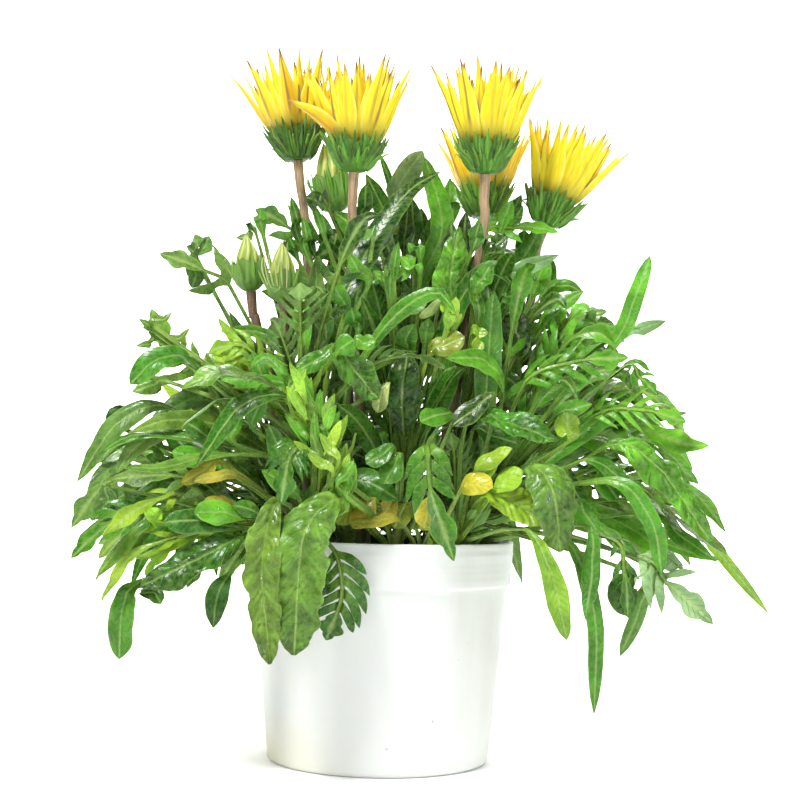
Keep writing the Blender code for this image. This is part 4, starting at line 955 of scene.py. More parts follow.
# The leafy shoots: short stems that stand in the soil, each with its own rosette of leaves. First the
# plain flat patterns of the leaves, which say where each leaf has room among its neighbours.
STEM_R = 3.6 * MM
PETIOLE = 1.25 * MM
BLADE = 0.75 * MM
ROOM = 0.35 * MM
NARROW = 17.5
SHOOTS = {
    "front_left": ((-30, -40), (-40, -52, 128)),
    "front_right": ((34, -40), (44, -50, 130)),
    "front": ((6, -48), (10, -58, 132)),
    "young": ((-14, -34), (-43, -57, 192)),
    "left_low": ((-50, -14), (-56, -17, 134)),
    "left": ((-44, 8), (-60, 4, 142)),
    "left_top": ((-30, -14), (-40, -20, 158)),
    "left_back": ((-28, 30), (-38, 36, 168)),
    "centre": ((8, -18), (10, -26, 158)),
    "top": ((8, 10), (12, 10, 196)),
    "top_right": ((30, 14), (42, 14, 190)),
    "right": ((42, -10), (60, -16, 152)),
    "right_low": ((46, -26), (52, -30, 134)),
    "right_back": ((38, 36), (56, 48, 150)),
    "back": ((8, 48), (10, 64, 150)),
    "back_left": ((-16, 50), (-26, 66, 142)),
    "old": ((22, -52), (20, -58, 113)),
}
OVAL = [(0.0, 0.14), (0.30, 0.68), (0.60, 1.0), (0.84, 0.80), (1.0, 0.14)]
LANCE = [(0.0, 0.14), (0.25, 0.72), (0.52, 1.0), (0.78, 0.76), (1.0, 0.08)]
STRAP = [(0.0, 0.45), (0.25, 0.9), (0.45, 1.0), (0.78, 0.85), (1.0, 0.16)]
KINDS = {
    "oval": (OVAL, 0),
    "lance": (LANCE, 0),
    "strap": (STRAP, 0),
    "lobe1": (None, 1),
    "lobe2": (None, 2),
    "lobe3": (None, 3),
    "lobe4": (None, 4),
    "comb": (None, 5),
    "fan": (None, 3),
}
TIP_SHARES = {"comb": 0.32, "lobe4": 0.36, "fan": 0.60}


def plain_pattern(outline, start, half, grow, short, narrow):
    """A plain leaf on its petiole: its flat pattern, two points across where it is narrow, else three."""
    rows = [(0.0, PETIOLE), (start * (0.5 if narrow else 0.55), PETIOLE)]
    if narrow:
        rows = rows[: 1 if short else 2]
        outline = outline[:1] + [(0.34, outline[1][1] * 0.5 + 0.5), (0.70, outline[3][1])] + outline[4:]
    rows += [(start + (1 - start) * t, max(half * w, 0.5 * MM)) for t, w in outline]
    sides = (-1, 1) if narrow else (-1, 0, 1)
    wide = len(sides)
    points = [(t, side * (w + grow)) for t, w in rows for side in sides]
    faces = []
    for a in range(wide * (len(rows) - 1)):
        if (a + 1) % wide:
            faces += [[a, a + 1, a + wide + 1], [a, a + wide + 1, a + wide]]
    return points, faces


def lobed_pattern(pairs, start, half, length, lean, end_share, end_half, wide, grow, short, blunt):
    """A lobed leaf: leaflets cut to the rib in one outline, with a larger lobe at the tip."""
    stop = 1 - end_share
    rib = PETIOLE * 0.9 + grow
    span = (stop - start) / pairs
    foot = min(span / 2, max(0.75 * wide, 2.4 * MM) / length)
    parted = not short and (span / 2 - foot) * length > 1.2 * MM
    points = [(0.0, -rib), (0.0, rib)]
    rows = [0]
    if not short:
        rows.append(2)
        points += [(start * 0.55, -rib), (start * 0.55, rib)]
    bases = []
    for k in range(pairs):
        middle = start + span * (k + 0.5)
        ends = (middle - foot, middle + foot) if parted else (middle - span / 2, middle + span / 2)
        for t in ends if parted or k == 0 else ends[1:]:
            rows.append(len(points))
            points += [(t, -rib), (t, rib)]
        bases.append((middle, rows[-2], rows[-1]))
    tip = ((0.55, 1.0), (1.0, 0.12)) if short else ((0.4, 0.95), (0.72, 0.85), (1.0, 0.12))
    for t, w in tip:
        rows.append(len(points))
        wing = max(end_half * w, 0.5 * MM) + grow
        points += [(stop + end_share * t, -wing), (stop + end_share * t, wing)]
    faces = []
    for one, two in zip(rows, rows[1:]):
        faces += [[one, two + 1, one + 1], [one, two, two + 1]]
    wide = max(wide, 0.72 * foot * length * math.sin(lean))
    for k, (middle, low, high) in enumerate(bases):
        size = half * (0.72 + 0.28 * math.sin(math.pi * (k + 1) / (pairs + 0.6)))
        for hand in (-1, 1):
            dx, dy = math.cos(lean), math.sin(lean) * hand
            nx, ny = -dy, dx
            spots = []
            for f, w in ((0.5, wide), (1.0, 0.0), (0.5, -wide))[: 3 if blunt else 2]:
                reach = size * f + (grow if f == 1.0 else 0)
                spread = w + math.copysign(grow, w) if w else 0
                spots.append((middle + (dx * reach + nx * spread * hand) / length,
                              dy * reach + ny * spread * hand + hand * rib))
            first = len(points)
            points += spots
            front, mid, rear = first, first + 1, first + (2 if blunt else 1)
            a = low + (1 if hand > 0 else 0)
            b = high + (1 if hand > 0 else 0)
            lobe = [[a, b, rear], [a, rear, front]] + ([[front, rear, mid]] if blunt else [])
            faces += lobe if hand > 0 else [f[::-1] for f in lobe]
    return points, faces


def slab(points, faces, place, thick, grow=0.0):
    """A thin closed blade: the flat pattern of (along, across) points bent by place, and its underside."""
    top, low = [], []
    for spot in points:
        p, normal = place(*spot)
        top.append(p + normal * (thick / 2 + grow))
        low.append(p - normal * (thick / 2 + grow))
    count = len(points)
    ends = {(a, b) for face in faces for a, b in zip(face, face[1:] + face[:1])}
    made = [list(f) for f in faces] + [[p + count for p in reversed(f)] for f in faces]
    for a, b in ends:
        if (b, a) not in ends:
            made.append([b, a, a + count])
            made.append([b, a + count, b + count])
    return top + low, made


def leaf_plan(root, kind, width, face_way, points, seed):
    """What a leaf is bent and cut by: its curve, where its blade starts, its bend and its lobes."""
    path = curve([root] + points)
    first = (points[0] - root).length
    whole = first
    for one, two in zip(points, points[1:]):
        whole += (two - one).length
    start = min(max(first / whole, 0.08), 0.85) if len(points) > 1 else 0.3
    luck = random.Random(seed)
    fold = math.radians(luck.uniform(4, 24))
    wave = luck.uniform(0.06, 0.2)
    waves = luck.uniform(2.0, 3.2)
    place = bender(path, face_way, fold, wave, waves)
    outline, pairs = KINDS[kind]
    half = width * MM / 2

    def bent(share, across, height=0.0):
        droop = -0.9 * across * across / max(half, 4 * MM) * 0.35
        return place(share, across, droop + height)

    lobes = None
    if not outline:
        blade = (1 - start) * path[2]
        end_share = (1 - start) * TIP_SHARES.get(kind, 0.48)
        wide = min(0.32 * (blade * 0.62) / pairs, half * 0.27)
        lean = math.radians(luck.uniform(36, 52))
        lobes = (pairs, start, half * 1.3, path[2], lean, end_share, min(half * 0.45, 6.5 * MM), wide)
    return path, start, half, outline, lobes, bent, kind


def leaf(plan, width, grow=0.0, short=False):
    path, start, half, outline, lobes, bent, kind = plan
    if outline:
        flat, faces = plain_pattern(outline, start, half, grow, short, width < NARROW)
    else:
        flat, faces = lobed_pattern(*lobes, grow, short, kind == "comb" and width >= 28)
    return slab(flat, faces, bent, BLADE, grow)


def tree_of(verts, faces):
    return BVHTree.FromPolygons([tuple(v) for v in verts], faces)


def stem_tree(verts, faces):
    """The tree of a stem, its faces cut into triangles."""
    work = bmesh.new()
    spots = [work.verts.new(v) for v in verts]
    for face in faces:
        work.faces.new([spots[p] for p in face])
    bmesh.ops.recalc_face_normals(work, faces=work.faces)
    bmesh.ops.triangulate(work, faces=work.faces)
    tree = BVHTree.FromBMesh(work)
    work.free()
    return tree


def stem_rod(path, low, high, sides, steps):
    """A closed round stem along a curve, straight in its hole; low and high are the radii of its ends."""
    straight = (HOLE_DEEP * MM + 2.4 * MM) / path[2]
    shares = [0.0] + [straight + (1 - straight) * k / steps for k in range(steps + 1)]
    return rod(path, lambda s: low + (high - low) * s, sides, shares)


def outer_part(verts, faces, root, far):
    """The faces of a leaf further from its root than far."""
    return tree_of(verts, [f for f in faces if min((verts[p] - root).length for p in f) > far])


placed, outers = {}, {}
for name, node in frame["nodes"].items():
    if not name.startswith("shoot_"):
        spots = [v.co for v in node.data.vertices]
        placed[name] = [tree_of(spots, [list(p.vertices) for p in node.data.polygons])]


def clear(verts, faces, own, root):
    """True where a leaf meets no other piece, and no leaf of its own shoot except near the stem."""
    tree = tree_of(verts, faces)
    for name, trees in placed.items():
        if name != own and any(tree.overlap(other) for other in trees):
            return False
    far = outer_part(verts, faces, root, 16 * MM)
    return not any(far.overlap(other) for other in outers.get(own, []))


def seen(p):
    """Where a place is seen in the picture: the other way round from at."""
    x, y, z = (p - CAMERA_PLACE) / MM
    ahead = y * math.cos(CAMERA_TILT) + z * math.sin(CAMERA_TILT)
    up = (z * math.cos(CAMERA_TILT) - y * math.sin(CAMERA_TILT)) / ahead * VIEW_SCALE
    across = x / ahead * VIEW_SCALE
    a = across * math.cos(CAMERA_ROLL) + up * math.sin(CAMERA_ROLL)
    b = up * math.cos(CAMERA_ROLL) - across * math.sin(CAMERA_ROLL)
    return 400 + a, 400 - b


# The leaves that show from the front: shoot, kind, width in mm, how far the face turns from up to the
# viewer in degrees, the look of its green, then (u, v, y) from the start of the blade to its tip.
SEEN = [
    ("front", "fan", 30, 70, "mid", 425, 446, -84, 431, 492, -94, 454, 561, -94),
    ("front_left", "oval", 27, 62, "moss", 338, 497, -86, 304, 535, -98, 294, 655, -94),
    ("front_left", "oval", 18, 64, "moss", 280, 500, -84, 262, 560, -94, 270, 664, -92),
    ("front_left", "comb", 28, 70, "deep", 334, 550, -82, 342, 594, -86, 326, 640, -82),
    ("front_right", "oval", 22, 60, "moss", 524, 470, -74, 552, 490, -90, 560, 552, -86),
    ("front_right", "oval", 12, 66, "lime", 520, 528, -82, 548, 565, -92, 567, 640, -86),
    ("front_right", "lance", 17, 52, "mid", 466, 418, -58, 508, 424, -76, 557, 441, -84),
    ("front_right", "lance", 12, 60, "bright", 503, 403, -50, 486, 362, -60, 446, 358, -74),
    ("centre", "lance", 20, 88, "dark", 404, 440, -46, 402, 395, -54, 408, 350, -52),
    ("left_top", "oval", 17, 72, "mid", 334, 350, -64, 350, 366, -72, 378, 399, -70),
    ("left_top", "oval", 11, 66, "mid", 336, 354, -60, 322, 357, -70, 296, 372, -74),
    ("front", "oval", 12, 60, "mid", 452, 424, -60, 436, 416, -72, 420, 422, -78),
    ("top", "strap", 13, 85, "bright", 416, 300, -8, 442, 228, -14, 425, 158, -6),
    ("top", "lance", 17, 88, "bright", 452, 332, -24, 450, 280, -30, 459, 227, -28),
    ("top", "oval", 14, 84, "silver", 393, 212, 18, 400, 184, 14, 423, 151, 12),
    ("top", "strap", 5, 80, "mid", 396, 230, 22, 392, 190, 20, 380, 154, 20),
    ("top", "lance", 14, 76, "mid", 384, 262, -4, 362, 235, -10, 334, 211, -12),
    ("top", "lance", 12, 80, "deep", 404, 250, 26, 384, 210, 28, 366, 174, 28),
    ("top", "lobe2", 15, 82, "deep", 414, 292, 2, 409, 262, -2, 415, 230, -2),
    ("centre", "lobe2", 15, 82, "dark", 396, 312, -30, 390, 280, -34, 392, 250, -34),
    ("top_right", "lobe3", 22, 60, "bright", 478, 254, -2, 515, 228, -8, 558, 232, -12),
    ("top_right", "lance", 11, 84, "mid", 498, 252, 14, 508, 222, 12, 521, 195, 12),
    ("top_right", "lance", 10, 100, "silver", 486, 292, -12, 520, 270, -18, 559, 255, -20),
    ("top_right", "strap", 8, 84, "mid", 542, 306, 18, 550, 282, 18, 551, 258, 20),
    ("top_right", "lance", 10, 64, "mid", 536, 304, 0, 562, 286, -6, 583, 292, -8),
    ("top_right", "lobe2", 20, 70, "grey", 552, 346, -10, 580, 320, -16, 607, 311, -18),
    ("right", "strap", 10, 82, "bright", 608, 352, -16, 634, 300, -20, 650, 256, -18),
    ("right", "lance", 9, 70, "silver", 614, 346, -6, 640, 330, -4, 666, 321, -2),
    ("right", "lobe4", 30, 54, "mid", 522, 386, -46, 575, 362, -54, 628, 358, -56),
    ("right", "lobe2", 18, 60, "mid", 616, 372, -30, 640, 378, -34, 658, 396, -36),
    ("right", "comb", 26, 56, "bright", 590, 418, -44, 640, 410, -50, 686, 422, -52),
    ("right_back", "lobe3", 26, 62, "bright", 604, 434, 20, 650, 440, 20, 698, 484, 18),
    ("right_low", "lance", 19, 58, "bright", 598, 450, -56, 652, 462, -66, 713, 546, -64),
    ("right_back", "strap", 7, 66, "lime", 664, 500, 10, 714, 547, 4, 768, 613, 0),
    ("right_low", "lance", 10, 62, "mid", 640, 512, -44, 680, 536, -46, 717, 562, -46),
    ("right_low", "strap", 10, 118, "mid", 604, 480, -74, 650, 518, -84, 662, 575, -82),
    ("right_low", "lance", 10, 56, "mid", 576, 462, -60, 620, 478, -66, 651, 508, -66),
    ("right_low", "fan", 30, 62, "silver", 636, 556, -72, 666, 582, -80, 713, 624, -78),
    ("right_low", "lobe2", 16, 66, "deep", 606, 536, -66, 624, 572, -70, 628, 618, -68),
    ("right_back", "strap", 9, 70, "grey", 640, 560, 0, 640, 606, -4, 620, 656, -6),
    ("right_low", "lance", 10, 66, "mid", 580, 524, -72, 592, 566, -78, 585, 619, -76),
    ("right_low", "strap", 9, 64, "mid", 560, 536, -64, 594, 612, -68, 594, 713, -60),
    ("left_top", "strap", 7, 70, "mid", 292, 368, -46, 264, 334, -54, 224, 331, -56),
    ("left_top", "strap", 5, 84, "bright", 292, 358, -34, 295, 336, -34, 293, 315, -34),
    ("young", "strap", 6, 70, "bright", 292, 386, -64, 268, 358, -70, 252, 366, -74),
    ("young", "lance", 9, 62, "bright", 292, 388, -56, 256, 380, -62, 221, 380, -64),
    ("left", "strap", 6, 76, "lime", 256, 372, -26, 236, 342, -30, 218, 318, -30),
    ("left", "strap", 6, 70, "lime", 248, 376, -36, 230, 360, -40, 213, 358, -42),
    ("young", "lance", 12, 60, "deep", 296, 402, -72, 244, 404, -84, 196, 467, -84),
    ("left", "lance", 12, 72, "deep", 166, 422, 0, 178, 440, -2, 197, 461, -4),
    ("left", "lance", 14, 64, "grey", 180, 412, -30, 122, 420, -36, 77, 482, -36),
    ("left", "lobe3", 26, 66, "moss", 214, 390, -14, 172, 352, -20, 151, 309, -20),
    ("left", "oval", 16, 70, "mid", 200, 374, -34, 162, 358, -44, 130, 384, -46),
    ("left_back", "lobe1", 34, 66, "grey", 240, 302, 26, 204, 271, 22, 159, 253, 20),
    ("left_back", "lobe2", 28, 68, "grey", 305, 262, 28, 286, 226, 24, 255, 209, 22),
    ("left_low", "lobe3", 28, 60, "grey", 160, 470, -34, 108, 482, -40, 71, 528, -40),
    ("left_low", "lobe3", 26, 62, "mid", 166, 512, -50, 116, 520, -56, 71, 558, -56),
    ("left", "oval", 16, 66, "grey", 140, 452, 6, 106, 474, 4, 92, 521, 4),
    ("left_low", "oval", 15, 66, "mid", 148, 578, -62, 124, 604, -68, 119, 659, -66),
    ("left_low", "lance", 21, 56, "deep", 246, 534, -70, 196, 560, -82, 138, 588, -84),
    ("left_low", "lance", 12, 62, "deep", 232, 570, -62, 218, 594, -66, 213, 628, -66),
    ("young", "fan", 26, 66, "deep", 306, 446, -84, 290, 457, -92, 281, 504, -92),
    ("old", "oval", 15, 60, "yellow", 460, 490, -74, 472, 484, -82, 493, 488, -86),
    ("old", "oval", 13, 56, "olive", 440, 506, -62, 430, 512, -64, 420, 530, -64),
    ("old", "oval", 13, 56, "olive", 410, 506, -60, 402, 512, -62, 394, 528, -62),
    ("old", "strap", 7, 50, "gold", 400, 520, -60, 376, 522, -62, 350, 522, -62),
]
FILL = [
    ("back", 6, 90, 130, (80, 150)),
    ("back_left", 5, 130, 110, (80, 150)),
    ("right_back", 3, 45, 90, (80, 150)),
    ("left_back", 3, 130, 120, (70, 130)),
    ("top", 1, 90, 160, (60, 100)),
    ("top_right", 2, 45, 120, (60, 100)),
]
MASS = [
    (330, 215), (395, 185), (440, 170), (475, 240), (545, 250), (565, 300), (610, 320),
    (645, 370), (690, 420), (700, 480), (722, 545), (700, 575), (640, 560), (590, 530),
    (520, 520), (450, 528), (340, 530), (300, 560), (230, 565), (150, 565), (90, 552),
    (85, 500), (130, 430), (180, 400), (215, 345), (262, 335), (290, 300),
]
CELL = 8
MORE = 31
LIMITS = {"left": -0.160, "right": 0.170, "back": 0.165, "front": -0.115}

stems = {}
for name, (foot, crown) in SHOOTS.items():
    path = curve(foot_path(foot, None, Vector(crown) * MM))
    stems[name] = (path, [])
    placed[f"shoot_{name}"] = [stem_tree(*stem_rod(path, STEM_R, STEM_R * 0.75, 6, 2))]


def put(name, made, root, plan, width, look):
    verts, faces = made
    stems[name][1].append((plan, width, look))
    placed[f"shoot_{name}"].append(tree_of(verts, faces))
    outers.setdefault(f"shoot_{name}", []).append(outer_part(verts, faces, root, 9 * MM))


def cells(verts, faces):
    """The squares of the picture that a leaf covers."""
    spots = [seen(v) for v in verts]
    found = set()
    for face in faces:
        (x0, y0), (x1, y1), (x2, y2) = (spots[p] for p in face)
        area = (x1 - x0) * (y2 - y0) - (x2 - x0) * (y1 - y0)
        if abs(area) < 1e-6:
            continue
        for i in range(int(min(x0, x1, x2) / CELL), int(max(x0, x1, x2) / CELL) + 1):
            for j in range(int(min(y0, y1, y2) / CELL), int(max(y0, y1, y2) / CELL) + 1):
                x, y = (i + 0.5) * CELL, (j + 0.5) * CELL
                a = ((x1 - x0) * (y - y0) - (x - x0) * (y1 - y0)) / area
                b = ((x - x0) * (y2 - y0) - (x2 - x0) * (y - y0)) / area
                if a >= 0 and b >= 0 and a + b <= 1:
                    found.add((i, j))
    return found


def in_mass(x, y):
    odd = False
    for (x0, y0), (x1, y1) in zip(MASS, MASS[1:] + MASS[:1]):
        if (y0 > y) != (y1 > y) and x < x0 + (x1 - x0) * (y - y0) / (y1 - y0):
            odd = not odd
    return odd


coarse = {name: [] for name in stems}
bare = {(i, j) for i in range(100) for j in range(100) if in_mass((i + 0.5) * CELL, (j + 0.5) * CELL)}
mass = set(bare)
for number, (name, kind, width, turn, look, *spots) in enumerate(SEEN):
    path = stems[name][0]
    points = list(zip(spots[::3], spots[1::3], spots[2::3]))
    for attempt in range(90):
        shift = (attempt + 1) // 2 * 2.5 * (1 if attempt % 2 else -1)
        share = 0.97 - 0.06 * ((number + attempt) % 7)
        root = along(path, share)[0]
        tilt = math.radians(turn + (attempt % 5) * 3)
        face_way = Vector((0, -math.sin(tilt), math.cos(tilt)))
        size = width * (1.0 if attempt < 60 else 0.8)
        line = [at(u, v, y + shift * (0.6 if k == 0 else 1.0)) for k, (u, v, y) in enumerate(points)]
        plan = leaf_plan(root, kind, size, face_way, line, number)
        if clear(*leaf(plan, size, ROOM), f"shoot_{name}", root):
            made = leaf(plan, size)
            put(name, made, root, plan, size, look)
            coarse[name].append(made)
            bare -= cells(*made)
            break

luck = random.Random(20)
crowns = {name: Vector(crown) * MM for name, (foot, crown) in SHOOTS.items() if name != "old"}
counts = {name: 0 for name in crowns}


def look_for(aim, pick):
    """The look of a leaf by rule: paler low in the middle, greyer at the left, deeper inside, where the deep
    and dark greens are painted shade.
    """
    u, v = seen(aim)
    if 285 < u < 342 and v > 370 and aim.y < 0:
        return pick.choice(["lime", "bright", "lime", "moss"])
    if 342 <= u < 380 and v > 370:
        return pick.choice(["deep", "mid", "dark", "deep"])
    if v < 275 or 350 < u < 470 and v < 345:
        return pick.choice(["deep", "mid", "deep", "dark"])
    if u < 240 and v > 330:
        return pick.choice(["grey", "moss", "moss", "mid", "lime"])
    if u > 570 and aim.y < 0.02:
        return pick.choice(["bright", "moss", "bright", "grey"])
    # Painted shade: leaves behind the pot's axis get deep and dark greens.
    if aim.y > 0:
        return pick.choice(["deep", "dark", "deep"])
    return pick.choice(["mid", "bright", "deep", "mid", "grey"])


pick = random.Random(29)
for number in range(MORE):
    best = None
    todo = sorted(bare)
    for attempt in range(90):
        i, j = luck.choice(todo)
        aim = at((i + 0.5) * CELL, (j + 0.5) * CELL, luck.uniform(-62, 30))
        near = sorted(crowns, key=lambda n: (crowns[n] - aim).length * (1 + 0.08 * counts[n]))
        name = near[luck.randrange(3)]
        root = along(stems[name][0], luck.uniform(0.5, 0.98))[0]
        reach = aim - root
        if not 26 * MM < reach.length < 125 * MM or reach.z < -30 * MM:
            continue
        out = Vector((reach.x, reach.y, 0)).normalized()
        lift = luck.uniform(0.05, 0.22) * reach.length
        start = root + reach * 0.26 + Vector((0, 0, lift * 0.7))
        crest = root + reach * 0.62 + Vector((0, 0, lift))
        tip = aim + (aim - crest) * luck.uniform(0.6, 1.1)
        tip.z -= luck.uniform(0.05, 0.25) * reach.length
        kind = luck.choice(["oval", "lance", "lance", "lobe2"])
        width = luck.uniform(20, 28) if kind == "lobe2" else luck.uniform(11, 16)
        tilt = math.radians(luck.uniform(30, 75))
        face_way = Vector((out.x * 0.2, -math.sin(tilt), math.cos(tilt)))
        line = [start, crest, aim, tip]
        plan = leaf_plan(root, kind, width, face_way, line, number)
        made = leaf(plan, width, ROOM, True)
        if not clear(*made, f"shoot_{name}", root):
            continue
        hides = cells(*made)
        gain = len(hides & bare) - 1.5 * len(hides - mass)
        if best is None or gain > best[0]:
            best = (gain, name, width, plan, root, aim)
    if best and best[0] > 4:
        gain, name, width, plan, root, aim = best
        made = leaf(plan, width, 0.0, True)
        bare -= cells(*made)
        counts[name] += 1
        put(name, made, root, plan, width, look_for(aim, pick))
        coarse[name].append(made)

for name, count, middle, sweep, (low, high) in FILL:
    path = stems[name][0]
    for k in range(count):
        kind = luck.choice(["oval", "lance", "lance", "strap", "lobe2", "lobe3"])
        for attempt in range(50):
            turn = math.radians(middle + sweep * ((k + 0.5) / count - 0.5) + luck.uniform(-14, 14))
            length = luck.uniform(low, high) * MM * (1.0 if attempt < 25 else 0.7)
            out = Vector((math.cos(turn), math.sin(turn), 0))
            side = Vector((-out.y, out.x, 0))
            root = along(path, luck.uniform(0.55, 0.98))[0]
            crest = luck.uniform(0.12, 0.42) * length
            drop = luck.uniform(0.05, 0.55) * length
            bow = luck.uniform(-0.12, 0.12) * length
            line = [
                root + out * length * 0.22 + Vector((0, 0, crest * 0.7)),
                root + out * length * 0.62 + side * bow * 0.6 + Vector((0, 0, crest)),
                root + out * length * 0.92 + side * bow + Vector((0, 0, crest - drop)),
            ]
            tip = line[-1]
            if not LIMITS["left"] < tip.x < LIMITS["right"]:
                continue
            if not LIMITS["front"] < tip.y < LIMITS["back"]:
                continue
            width = luck.uniform(20, 28) if kind.startswith("lobe") else luck.uniform(10, 18)
            if kind == "strap":
                width *= 0.5
            face_way = Vector((0, 0, 1)) + side * luck.uniform(-0.5, 0.5)
            plan = leaf_plan(root, kind, width, face_way, line, 100 + 40 * k + count)
            if clear(*leaf(plan, width, ROOM, True), f"shoot_{name}", root):
                made = leaf(plan, width, 0.0, True)
                put(name, made, root, plan, width, look_for(tip, pick))
                coarse[name].append(made)
                break


